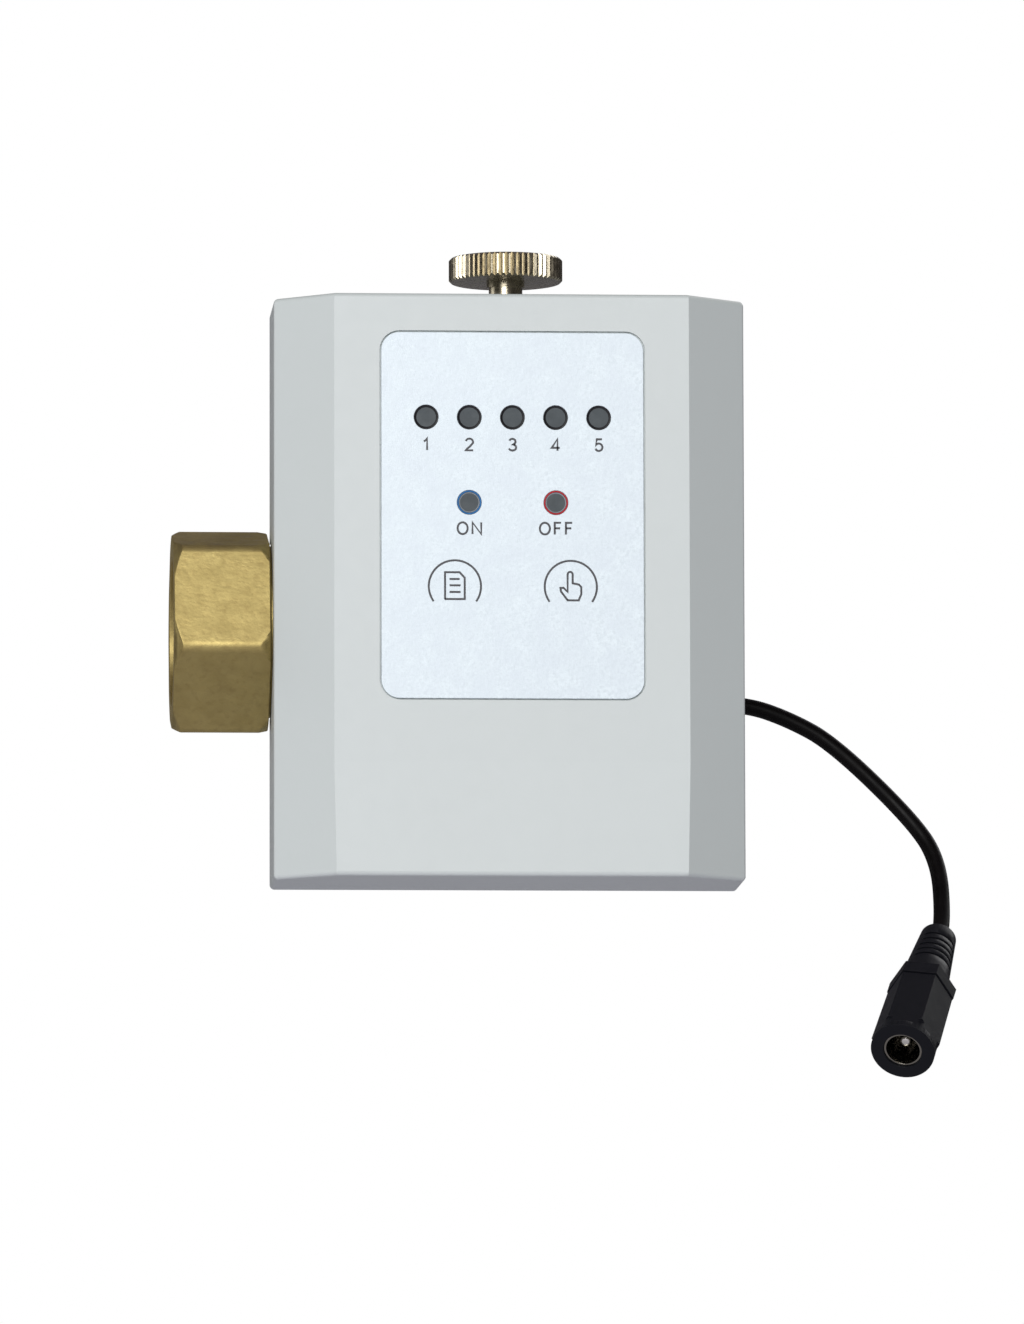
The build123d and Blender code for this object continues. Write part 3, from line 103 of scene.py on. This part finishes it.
# Shader helpers
class Shader:
    """A material with a Principled shader and short calls for the nodes that feed it."""

    def __init__(self, name, color, roughness, metallic=0.0):
        self.material = bpy.data.materials.new(name)
        self.material.use_nodes = True
        self.nodes = self.material.node_tree.nodes
        self.links = self.material.node_tree.links
        self.base = self.nodes["Principled BSDF"]
        self.base.inputs["Base Color"].default_value = (*color, 1)
        self.base.inputs["Roughness"].default_value = roughness
        self.base.inputs["Metallic"].default_value = metallic
        self.color = color
        self.place = self.nodes.new("ShaderNodeTexCoord").outputs["Object"]

    def link(self, output, target):
        self.links.new(output, target)
        return self

    def noise(self, scale, detail=3.0, stretch=(1, 1, 1)):
        mapping = self.nodes.new("ShaderNodeMapping")
        mapping.inputs["Scale"].default_value = stretch
        self.links.new(self.place, mapping.inputs["Vector"])
        noise = self.nodes.new("ShaderNodeTexNoise")
        noise.inputs["Scale"].default_value = scale
        noise.inputs["Detail"].default_value = detail
        self.links.new(mapping.outputs["Vector"], noise.inputs["Vector"])
        return noise.outputs["Fac"]

    def cells(self, scale):
        cells = self.nodes.new("ShaderNodeTexVoronoi")
        cells.inputs["Scale"].default_value = scale
        self.links.new(self.place, cells.inputs["Vector"])
        return cells.outputs["Distance"]

    def spread(self, value, low=0, high=1, start=0.3, end=0.7):
        """A value from start to end, spread over low to high."""
        spread = self.nodes.new("ShaderNodeMapRange")
        spread.inputs["From Min"].default_value = start
        spread.inputs["From Max"].default_value = end
        spread.inputs["To Min"].default_value = low
        spread.inputs["To Max"].default_value = high
        self.links.new(value, spread.inputs["Value"])
        return spread.outputs["Result"]

    def mix(self, factor, one, two):
        """Colour one where factor is 0, two where it is 1."""
        mix = self.nodes.new("ShaderNodeMix")
        mix.data_type = "RGBA"
        self.links.new(factor, mix.inputs["Factor"])
        for socket, color in ((mix.inputs["A"], one), (mix.inputs["B"], two)):
            if isinstance(color, tuple):
                socket.default_value = (*color, 1)
            else:
                self.links.new(color, socket)
        return mix.outputs["Result"]

    def paint(self, factor, one, two):
        return self.link(self.mix(factor, one, two), self.base.inputs["Base Color"])

    def rough(self, factor, low, high):
        return self.link(self.spread(factor, low, high), self.base.inputs["Roughness"])

    def bump(self, height, distance, strength=1.0):
        bump = self.nodes.new("ShaderNodeBump")
        bump.inputs["Distance"].default_value = distance
        bump.inputs["Strength"].default_value = strength
        self.links.new(height, bump.inputs["Height"])
        before = [l.from_socket for l in self.links if l.to_socket == self.base.inputs["Normal"]]
        if before:
            self.links.new(before[0], bump.inputs["Normal"])
        return self.link(bump.outputs["Normal"], self.base.inputs["Normal"])

    def set(self, **sockets):
        for name, value in sockets.items():
            self.base.inputs[name.replace("_", " ")].default_value = value
        return self


def shade(color, share):
    return tuple(c * share for c in color)


def plastic(name, color, roughness, grain=5000, depth=0.006 * mm, shine=0.5):
    """Moulded plastic: a fine spark-eroded grain and faint, slow colour variation."""
    made = Shader(name, color, roughness).set(Specular_IOR_Level=shine)
    made.paint(made.noise(scale=45, detail=2), shade(color, 0.975), color)
    made.rough(made.noise(scale=400, detail=2), low=roughness * 0.92, high=roughness * 1.08)
    made.bump(made.noise(scale=grain, detail=2), depth)
    return made.material


def cast_brass(name):
    """Brass with a cast skin: pits, brown stains and worn bright patches."""
    bright, mid, stain = (0.46, 0.365, 0.145), (0.41, 0.32, 0.125), (0.33, 0.245, 0.095)
    made = Shader(name, bright, 0.42, 1.0)
    worn = made.spread(made.noise(scale=330, detail=6), start=0.35, end=0.65)
    stained = made.spread(made.noise(scale=900, detail=8), high=0.5, start=0.5, end=0.72)
    made.paint(stained, made.mix(worn, mid, bright), stain)
    made.rough(made.noise(scale=420, detail=5), low=0.44, high=0.58)
    made.bump(made.noise(scale=1600, detail=7, stretch=(0.7, 1, 1)), distance=0.035 * mm)
    made.bump(made.noise(scale=280, detail=3), distance=0.05 * mm)
    return made.material


def turned_brass(name, color, roughness=0.22):
    """Turned brass with fine marks and a little dulling."""
    made = Shader(name, color, roughness, 1.0)
    made.paint(made.spread(made.noise(scale=500, detail=5)), shade(color, 0.86), color)
    made.rough(made.noise(scale=900, detail=4), low=roughness * 0.8, high=roughness * 1.4)
    made.bump(made.noise(scale=2600, detail=3, stretch=(1, 1, 4)), distance=0.003 * mm)
    return made.material


def metal(name, color, roughness, marks=(1, 1, 12)):
    made = Shader(name, color, roughness, 1.0)
    made.paint(made.spread(made.noise(scale=700, detail=4)), shade(color, 0.88), color)
    made.rough(made.noise(scale=1500, detail=3, stretch=marks), low=roughness * 0.8, high=roughness * 1.3)
    made.bump(made.noise(scale=3000, detail=2, stretch=marks), distance=0.004 * mm)
    return made.material


def rubber(name, color, roughness, shine=0.5):
    made = Shader(name, color, roughness).set(Specular_IOR_Level=shine)
    made.paint(made.spread(made.noise(scale=300, detail=4)), shade(color, 0.8), shade(color, 1.25))
    made.rough(made.noise(scale=600, detail=4), low=roughness * 0.85, high=roughness * 1.2)
    made.bump(made.noise(scale=3500, detail=3), distance=0.006 * mm)
    return made.material


def label_film(name):
    """Silver film under a satin print: small bright and dull grains, a little uneven."""
    pale, dull = (0.75, 0.83, 0.87), (0.60, 0.67, 0.71)
    made = Shader(name, pale, 0.42, 0.18)
    grains = made.spread(made.noise(scale=1900, detail=2), start=0.36, end=0.64)
    clouds = made.spread(made.noise(scale=330, detail=3), high=0.5, start=0.35, end=0.65)
    fine = made.mix(grains, dull, pale)
    made.paint(clouds, fine, (0.63, 0.695, 0.75))
    made.rough(made.noise(scale=1900, detail=2), low=0.34, high=0.52)
    made.bump(made.noise(scale=1500, detail=2), distance=0.012 * mm)
    return made.material


def smoked(name, color, roughness=0.3, shine=0.25):
    """Smoked lens plastic, faintly cloudy."""
    made = Shader(name, color, roughness).set(Specular_IOR_Level=shine)
    made.paint(made.spread(made.noise(scale=500, detail=3)), shade(color, 0.9), shade(color, 1.12))
    made.rough(made.noise(scale=900, detail=2), low=roughness * 0.9, high=roughness * 1.2)
    made.bump(made.noise(scale=1600, detail=2), distance=0.006 * mm)
    return made.material


def board_mask(name):
    """Solder mask over faint tracks."""
    made = Shader(name, (0.02, 0.13, 0.05), 0.3)
    tracks = made.cells(scale=900)
    copper, bare = (0.03, 0.19, 0.08), (0.015, 0.10, 0.04)
    made.paint(made.spread(tracks, start=0.05, end=0.35), copper, bare)
    made.bump(tracks, distance=0.01 * mm)
    return made.material


def ink(name):
    """Dark grey screen print."""
    dark, light = (0.030, 0.030, 0.036), (0.050, 0.050, 0.058)
    made = Shader(name, dark, 0.45)
    made.paint(made.spread(made.noise(scale=4000, detail=2)), dark, light)
    return made.material


case_plastic = plastic("case_plastic", (0.645, 0.69, 0.68), 0.42)
key_plastic = plastic("key_plastic", (0.55, 0.57, 0.57), 0.5)
black_plastic = plastic("black_plastic", (0.010, 0.0105, 0.0125), 0.4, 4000, shine=0.2)
socket_plastic = plastic("socket_plastic", (0.0070, 0.0075, 0.0100), 0.42, 2500, 0.003 * mm, 0.11)
gear_plastic = plastic("gear_plastic", (0.76, 0.72, 0.60), 0.45)
seat_white = plastic("seat_white", (0.86, 0.86, 0.83), 0.5)
led_white = plastic("led_white", (0.78, 0.78, 0.66), 0.25)
cord_rubber = rubber("cord_rubber", (0.0028, 0.0022, 0.0022), 0.42, 0.09)
seal_rubber = rubber("seal_rubber", (0.02, 0.02, 0.02), 0.6)
body_brass = cast_brass("body_brass")
knob_brass = turned_brass("knob_brass", (0.47, 0.42, 0.31), 0.24)
# A darker copy of the knob brass for the hand knob: painted shade, standing for the dark reflections it
# shows.
disc_brass_painted_shade = turned_brass("disc_brass_painted_shade", (0.37, 0.33, 0.245), 0.24)
ball_chrome = metal("ball_chrome", (0.78, 0.78, 0.78), 0.08, (1, 1, 1))
steel = metal("steel", (0.55, 0.55, 0.54), 0.3)
can_steel = metal("can_steel", (0.62, 0.61, 0.60), 0.25)
contact_metal = metal("contact_metal", (0.72, 0.70, 0.64), 0.18, (1, 1, 1))
# Contact metal darkened for the jack sleeve down in its bore: painted shade.
sleeve_metal_painted_shade = metal("sleeve_metal_painted_shade", (0.24, 0.225, 0.19), 0.2, (1, 1, 1))
magnet_metal = metal("magnet_metal", (0.5, 0.5, 0.5), 0.25, (1, 1, 1))
silver_film = label_film("label_film")
dark_lens = smoked("dark_lens", (0.063, 0.077, 0.084), 0.4)
lens_rim = smoked("lens_rim", (0.012, 0.012, 0.014), 0.4)
# Pale grey on the ON and OFF lenses' chamfer and rim: a painted highlight.
lamp_bevel_painted_highlight = smoked("lamp_bevel_painted_highlight", (0.30, 0.33, 0.36), 0.35)
blue_ring = smoked("blue_ring", (0.012, 0.155, 0.42), 0.35)
red_ring = smoked("red_ring", (0.50, 0.008, 0.02), 0.35)
board_green = board_mask("board_green")
print_ink = ink("print_ink")

by_slot = {
    "case_plastic": case_plastic,
    "label_film": silver_film,
    "dark_lens": dark_lens,
    "blue_ring": blue_ring,
    "red_ring": red_ring,
    "brass": body_brass,
    "knob_brass": knob_brass,
    "ball_chrome": ball_chrome,
    "steel": steel,
    "motor_metal": can_steel,
    "seat_white": seat_white,
    "gear_plastic": gear_plastic,
    "key_plastic": key_plastic,
    "black_rubber": cord_rubber,
    "black_plastic": black_plastic,
    "board_green": board_green,
    "led_white": led_white,
    "magnet": magnet_metal,
    "contact_metal": contact_metal,
}
own_material = {
    "stem_o_rings": seal_rubber,
    "adapter_o_ring": seal_rubber,
    "hand_knob": disc_brass_painted_shade,
    "jack_body": socket_plastic,
    "jack_sleeve": sleeve_metal_painted_shade,
    "jack_strain_relief": socket_plastic,
}
slot_of = {s["node"]: s["material_slot"] for s in frame["record"]["subparts"]}
body_of = {n: body for body, members in frame["record"]["behaviour"]["bodies"].items() for n in members}
for name, node in nodes.items():
    node.data.materials.clear()
    node.data.materials.append(own_material.get(name, by_slot[slot_of[name]]))


# Mesh helpers
broad_face = 100 * mm * mm
same_place = 0.0004 * mm
flat_angle = 0.08            # degrees
crease_angle = 0.1


def piece(name, body, mesh, material):
    made = bpy.data.objects.new(name, mesh)
    bpy.context.scene.collection.objects.link(made)
    if material:
        mesh.materials.append(material)
    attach(made, body)
    return made


def is_crease(edge):
    """An edge between two broad flat faces that meet at a slight angle."""
    if len(edge.link_faces) != 2:
        return False
    broad = all(f.calc_area() > broad_face for f in edge.link_faces)
    return broad and edge.calc_face_angle() > math.radians(crease_angle)


def rounded(name, width, segments=3, angle=28):
    """A copy of a node's mesh with its sharp edges rounded; it stands for the node."""
    mesh = nodes[name].data.copy()
    work = bmesh.new()
    work.from_mesh(mesh)
    bmesh.ops.remove_doubles(work, verts=work.verts, dist=same_place)
    bmesh.ops.dissolve_limit(
        work,
        angle_limit=math.radians(flat_angle),
        verts=work.verts,
        edges=work.edges,
        use_dissolve_boundaries=False,
    )
    work.edges.index_update()
    creases = [e.index for e in work.edges if is_crease(e)]
    work.to_mesh(mesh)
    work.free()
    mesh.shade_smooth()
    mesh.set_sharp_from_angle(angle=math.radians(angle))
    for i in creases:
        mesh.edges[i].use_edge_sharp = True
    made = piece(f"{name}_finished", body_of[name], mesh, None)
    bevel = made.modifiers.new("edges", "BEVEL")
    bevel.width = width
    bevel.segments = segments
    bevel.limit_method = "ANGLE"
    bevel.angle_limit = math.radians(angle)
    bevel.harden_normals = True
    bevel.use_clamp_overlap = True
    flats = made.modifiers.new("flats", "WEIGHTED_NORMAL")
    flats.mode = "FACE_AREA"
    flats.weight = 100
    flats.keep_sharp = True
    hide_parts(name)
    return made


def ribbon(work, points, width, closed=False):
    """A flat ink line of even width along points given in X and Z, as a thin closed solid."""
    points = [Vector(p) for p in points]
    count = len(points)
    sides = []
    for i, here in enumerate(points):
        before = points[i - 1] if i or closed else None
        after = points[(i + 1) % count] if i < count - 1 or closed else None
        runs = []
        if before is not None:
            runs.append((here - before).normalized())
        if after is not None:
            runs.append((after - here).normalized())
        mean = (runs[0] + runs[-1]).normalized()
        across = Vector((-mean.y, mean.x))
        stretch = 1 / max(0.5, across.dot(Vector((-runs[0].y, runs[0].x))))
        offset = across * width / 2 * stretch
        sides.append((here + offset, here - offset))
    rings = []
    for left, right in sides:
        ring = []
        for p, y in ((left, 0), (right, 0), (right, 1), (left, 1)):
            depth = label_face - ink_thickness if y == 0 else label_face + ink_sink
            ring.append(work.verts.new((p.x, depth, p.y)))
        rings.append(ring)
    pairs = list(zip(rings, rings[1:]))
    if closed:
        pairs.append((rings[-1], rings[0]))
    for one, two in pairs:
        for k in range(4):
            work.faces.new((one[k], one[(k + 1) % 4], two[(k + 1) % 4], two[k]))
    if not closed:
        work.faces.new(rings[0])
        work.faces.new(list(reversed(rings[-1])))


def arc(cx, cy, rx, ry, start, end, steps=14):
    """Points on an ellipse, from start to end in degrees."""
    turns = [math.radians(start + (end - start) * i / steps) for i in range(steps + 1)]
    return [(cx + rx * math.cos(t), cy + ry * math.sin(t)) for t in turns]


# Numerals and letters as lines in a box of width 1 and height 1
glyphs = {
    "1": [[(0.18, 0.74), (0.42, 0.84), (0.62, 1.0), (0.62, 0)]],
    "2": [arc(0.5, 0.71, 0.48, 0.29, 165, -20) + [(0.62, 0.36), (0.2, 0.14), (0.02, 0), (1.0, 0)]],
    "3": [arc(0.48, 0.755, 0.42, 0.245, 160, -80) + arc(0.48, 0.26, 0.5, 0.26, 80, -160)],
    "4": [[(0.72, 0), (0.72, 1.0), (0.0, 0.25), (1.0, 0.25)]],
    "5": [[(0.93, 1.0), (0.24, 1.0), (0.11, 0.48)] + arc(0.5, 0.32, 0.48, 0.32, 132, -158)],
    "O": [arc(0.5, 0.5, 0.5, 0.5, 0, 345, 23)],
    "N": [[(0, 0), (0, 1), (1, 0), (1, 1)]],
    "F": [[(0, 0), (0, 1), (1, 1)], [(0, 0.53), (0.86, 0.53)]],
}
glyph_widths = {"1": 1.15, "2": 1.22, "3": 1.2, "4": 1.3, "5": 1.22, "O": 1.62, "N": 1.4, "F": 1.02}


def word(work, text, middle, foot):
    """Glyphs side by side, centred on middle, standing on foot."""
    widths = [glyph_widths[c] * mm for c in text]
    left = middle - (sum(widths) + letter_gap * (len(text) - 1)) / 2
    for c, width in zip(text, widths):
        for line in glyphs[c]:
            places = [(left + x * width, foot + y * glyph_height) for x, y in line]
            ribbon(work, places, stroke_width, closed=c == "O")
        left += width + letter_gap


def icon(work, lines, middle, level, size):
    """Lines given in units of the icon's half size."""
    for line in lines:
        ribbon(work, [(middle + x * size, level + y * size) for x, y in line], stroke_width)


page_icon = [
    [(-0.62, -0.85), (-0.62, 0.85), (0.3, 0.85), (0.62, 0.5), (0.62, -0.85), (-0.66, -0.85)],
    [(-0.34, 0.42), (0.3, 0.42)],
    [(-0.34, 0.02), (0.36, 0.02)],
    [(-0.34, -0.4), (0.36, -0.4)],
]
hand_icon = [
    [(-0.2, -0.9), (-0.62, -0.34), (-0.66, -0.12), (-0.46, -0.1), (-0.2, -0.36), (-0.2, 0.72)]
    + arc(-0.04, 0.74, 0.16, 0.17, 180, 0, 6)
    + [(0.12, 0.18), (0.52, 0.1), (0.66, -0.06), (0.66, -0.5), (0.5, -0.9), (-0.24, -0.9)],
]


def label_print():
    """Ink on the label: numerals, ON and OFF, an open arc round each key and a plain icon in it."""
    work = bmesh.new()
    for i in range(zone_count):
        word(work, str(i + 1), label_mid + (i - (zone_count - 1) / 2) * zone_pitch, zone_z - numeral_drop)
    word(work, "ON", label_mid - lamp_spacing / 2, lamp_z - word_drop)
    word(work, "OFF", label_mid + lamp_spacing / 2, lamp_z - word_drop)
    for side, lines in ((-1, page_icon), (1, hand_icon)):
        middle = label_mid + side * key_spacing / 2
        ring = arc(middle, key_z, key_arc_radius, key_arc_radius, key_arc_start, key_arc_end, 48)
        ribbon(work, ring, stroke_width)
        icon(work, lines, middle, key_z + icon_rise, icon_size)
    bmesh.ops.recalc_face_normals(work, faces=work.faces)
    mesh = bpy.data.meshes.new("label_print")
    work.to_mesh(mesh)
    work.free()
    return piece("label_print", "case", mesh, print_ink)


label_print()


def turned(name, body, centre, profile, materials, steps=64):
    """A piece turned about an axis that points to the front; profile is (radius, depth, material)."""
    work = bmesh.new()
    rings = []
    for radius, depth, _ in profile:
        if radius == 0:
            rings.append([work.verts.new((centre.x, centre.y + depth, centre.z))])
            continue
        ring = []
        for i in range(steps):
            turn = 2 * math.pi * i / steps
            x = centre.x + radius * math.cos(turn)
            z = centre.z + radius * math.sin(turn)
            ring.append(work.verts.new((x, centre.y + depth, z)))
        rings.append(ring)
    for (one, two), (_, _, index) in zip(zip(rings, rings[1:]), profile[1:]):
        for i in range(steps):
            j = (i + 1) % steps
            corners = [one[i % len(one)], one[j % len(one)], two[j % len(two)], two[i % len(two)]]
            unique = list(dict.fromkeys(corners))
            face = work.faces.new(unique)
            face.material_index = index
    bmesh.ops.recalc_face_normals(work, faces=work.faces)
    mesh = bpy.data.meshes.new(name)
    work.to_mesh(mesh)
    work.free()
    for material in materials:
        mesh.materials.append(material)
    mesh.shade_smooth()
    mesh.set_sharp_from_angle(angle=math.radians(20))
    return piece(name, body, mesh, None)


# Lenses: a chamfered rim round a face that lies a little deeper, on its light guide
lens_thickness = 0.6 * mm
lens_edge = 0.03 * mm        # rounding of its outer edge
rim_fall = 0.02 * mm         # the rim's face slopes in by this much
guide_radius = 1.4 * mm
guide_length = 2.5 * mm
zone_lens = {"outer": 1.93 * mm, "rim": 0.13 * mm, "chamfer": 0.22 * mm, "depth": 0.12 * mm}
lamp_lens = {"outer": 1.66 * mm, "rim": 0.02 * mm, "chamfer": 0.14 * mm, "depth": 0.1 * mm}


def lens_profile(outer, rim, chamfer, depth):
    return [
        (0, depth, 0),
        (outer - rim - chamfer, depth, 0),
        (outer - rim, rim_fall, 1),
        (outer - lens_edge, 0.0, 1),
        (outer, lens_edge, 1),
        (outer, lens_thickness, 1),
        (guide_radius, lens_thickness, 1),
        (guide_radius, guide_length, 1),
        (0, guide_length, 1),
    ]


def lenses():
    for i in range(zone_count):
        centre = Vector((label_mid + (i - (zone_count - 1) / 2) * zone_pitch, label_face, zone_z))
        profile = lens_profile(**zone_lens)
        name = f"zone_lens_{i + 1}"
        turned(name, "case", centre, profile, [dark_lens, lens_rim])
    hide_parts("zone_lenses")
    for side, name in ((-1, "on_lens"), (1, "off_lens")):
        centre = Vector((label_mid + side * lamp_spacing / 2, label_face, lamp_z))
        profile = lens_profile(**lamp_lens)
        # the chamfer of the ON and OFF lenses carries the painted highlight
        made = turned(f"{name}_finished", "case", centre, profile, [dark_lens, lamp_bevel_painted_highlight])
        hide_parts(name)
    for name in ("on_ring", "off_ring"):
        rounded(name, 0.05 * mm, 2)


lenses()

# Case, brass and socket with rounded edges
rounded("front_cover", 0.35 * mm, angle=22)
rounded("rear_housing", 0.3 * mm)
rounded("label_plate", 0.08 * mm, 2)
rounded("inlet_adapter", 0.3 * mm, angle=40)
rounded("jack_body", 0.25 * mm, 2)
rounded("jack_strain_relief", 0.12 * mm, 2)
rounded("jack_sleeve", 0.05 * mm, 2)
rounded("cord_grommet", 0.2 * mm, 2)


# Knob spring: a copy of the clutch spring's mesh, baked in place, standing for it
def knob_spring():
    made = bpy.data.objects.new("knob_spring", nodes["clutch_spring"].data.copy())
    bpy.context.scene.collection.objects.link(made)
    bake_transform(made)
    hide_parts("clutch_spring")


knob_spring()

# Power lead
cord_diameter = 2.7 * mm
jack_start = Vector((125.16, 3.0, -48.76))
jack_axis = Vector((-0.2532, -0.7317, -0.6329)).normalized()
cord_last_run = 3.4
grommet_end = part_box("cord_grommet")[1].x / mm
cord_route = [
    Vector((grommet_end, 17.5, -9.6)),
    Vector((94.9, 17.5, -9.6)),
    Vector((101.9, 17.5, -12.0)),
    Vector((109.1, 17.3, -15.95)),
    Vector((121.45, 16.0, -28.1)),
    Vector((126.1, 13.2, -35.45)),
    jack_start - jack_axis * cord_last_run,
    jack_start,
]


def power_lead():
    curve = bpy.data.curves.new("power_lead", "CURVE")
    curve.dimensions = "3D"
    spline = curve.splines.new("NURBS")
    spline.points.add(len(cord_route) - 1)
    for point, place in zip(spline.points, cord_route):
        point.co = (*(place * mm), 1)
    spline.order_u = 3
    spline.use_endpoint_u = True
    spline.resolution_u = 24
    curve.bevel_depth = cord_diameter / 2
    curve.bevel_resolution = 10
    curve.use_fill_caps = True
    curve.materials.append(cord_rubber)
    made = bpy.data.objects.new("power_lead", curve)
    bpy.context.scene.collection.objects.link(made)
    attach(made, "case")
    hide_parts("power_cord")
    return made


lead = power_lead()


# Stage, lights and camera
ambient = 0.12
floor_level = -0.62
floor_half = 6.0
lit_point = (0.055, 0, 0)


def lamp(name, place, target, size, power):
    light = bpy.data.lights.new(name, "AREA")
    light.shape = "SQUARE"
    light.size = size
    light.energy = power
    made = bpy.data.objects.new(name, light)
    bpy.context.scene.collection.objects.link(made)
    made.location = place
    made.rotation_euler = (Vector(target) - Vector(place)).to_track_quat("-Z", "Y").to_euler()
    made.visible_camera = False
    return made


def world():
    """White to the camera and to reflections that leave the dark room, a dim even grey as light."""
    made = bpy.data.worlds.new("studio")
    made.use_nodes = True
    tree = made.node_tree
    paths = tree.nodes.new("ShaderNodeLightPath")
    seen = paths.outputs["Is Camera Ray"]
    for kind in ("Is Glossy Ray", "Is Transmission Ray"):
        either = tree.nodes.new("ShaderNodeMath")
        either.operation = "MAXIMUM"
        tree.links.new(seen, either.inputs[0])
        tree.links.new(paths.outputs[kind], either.inputs[1])
        seen = either.outputs["Value"]
    strength = tree.nodes.new("ShaderNodeMapRange")
    strength.inputs["To Min"].default_value = ambient
    strength.inputs["To Max"].default_value = 1.0
    tree.links.new(seen, strength.inputs["Value"])
    background = tree.nodes["Background"]
    background.inputs["Color"].default_value = (1, 1, 1, 1)
    tree.links.new(strength.outputs["Result"], background.inputs["Strength"])
    bpy.context.scene.world = made


def floor():
    mesh = bpy.data.meshes.new("floor")
    half, level = floor_half, floor_level
    corners = [(-half, -half, level), (half, -half, level), (half, half, level), (-half, half, level)]
    mesh.from_pydata(corners, [], [(0, 1, 2, 3)])
    made = bpy.data.objects.new("floor", mesh)
    bpy.context.scene.collection.objects.link(made)
    pale = Shader("floor_paper", (0.78, 0.76, 0.84), 0.9)
    pale.paint(pale.noise(scale=3, detail=2), (0.77, 0.75, 0.83), (0.79, 0.77, 0.85))
    mesh.materials.append(pale.material)


def dark_card(name, corners, color):
    """A dark card that only reflections see, as the dark side of a studio."""
    mesh = bpy.data.meshes.new(name)
    mesh.from_pydata(corners, [], [(0, 1, 2, 3)])
    made = bpy.data.objects.new(name, mesh)
    bpy.context.scene.collection.objects.link(made)
    paper = Shader(f"{name}_paper", color, 0.9)
    paper.paint(paper.noise(scale=2, detail=2), shade(color, 0.9), shade(color, 1.1))
    mesh.materials.append(paper.material)
    for kind in ("camera", "diffuse", "transmission", "volume_scatter", "shadow"):
        setattr(made, f"visible_{kind}", False)


def dark_room():
    """Dark walls and a ceiling round the object and its lamps, that only reflections see."""
    left, right, front, back, low, high = -2.9, 3.0, -2.7, 2.6, -0.6, 2.2
    walls = {
        "back": (0.28, 0.27, 0.29),
        "left": (0.13, 0.125, 0.12),
        "right": (0.13, 0.125, 0.12),
        "top": (0.46, 0.42, 0.46),
        "front": (0.235, 0.22, 0.215),
    }
    corners = {
        "back": [(left, back, low), (right, back, low), (right, back, high), (left, back, high)],
        "left": [(left, front, low), (left, back, low), (left, back, high), (left, front, high)],
        "right": [(right, front, low), (right, back, low), (right, back, high), (right, front, high)],
        "top": [(left, front, high), (right, front, high), (right, back, high), (left, back, high)],
        "front": [(left, front, low), (right, front, low), (right, front, high), (left, front, high)],
    }
    for side, places in corners.items():
        dark_card(f"{side}_card", places, walls[side])


world()
floor()
dark_room()
lamp("key", (-0.47, -2.33, 0.7), lit_point, size=1.3, power=45.5)
lamp("rim", (1.6, 2.0, 1.6), lit_point, size=1.6, power=20)
lamp("side", (-2.4, 0.6, 0.5), lit_point, size=1.4, power=8)

camera = bpy.data.objects.new("camera", bpy.data.cameras.new("camera"))
camera.data.sensor_width = sensor
camera.data.lens = focal_pixels * sensor / image_height
camera.data.clip_end = camera_reach
camera.location = camera_place
roll = Quaternion((0, 0, 1), math.radians(camera_roll))
camera.rotation_euler = (camera_look.to_track_quat("-Z", "Y") @ roll).to_euler()
bpy.context.scene.collection.objects.link(camera)
bpy.context.scene.camera = camera
bpy.context.scene.view_settings.view_transform = "Standard"
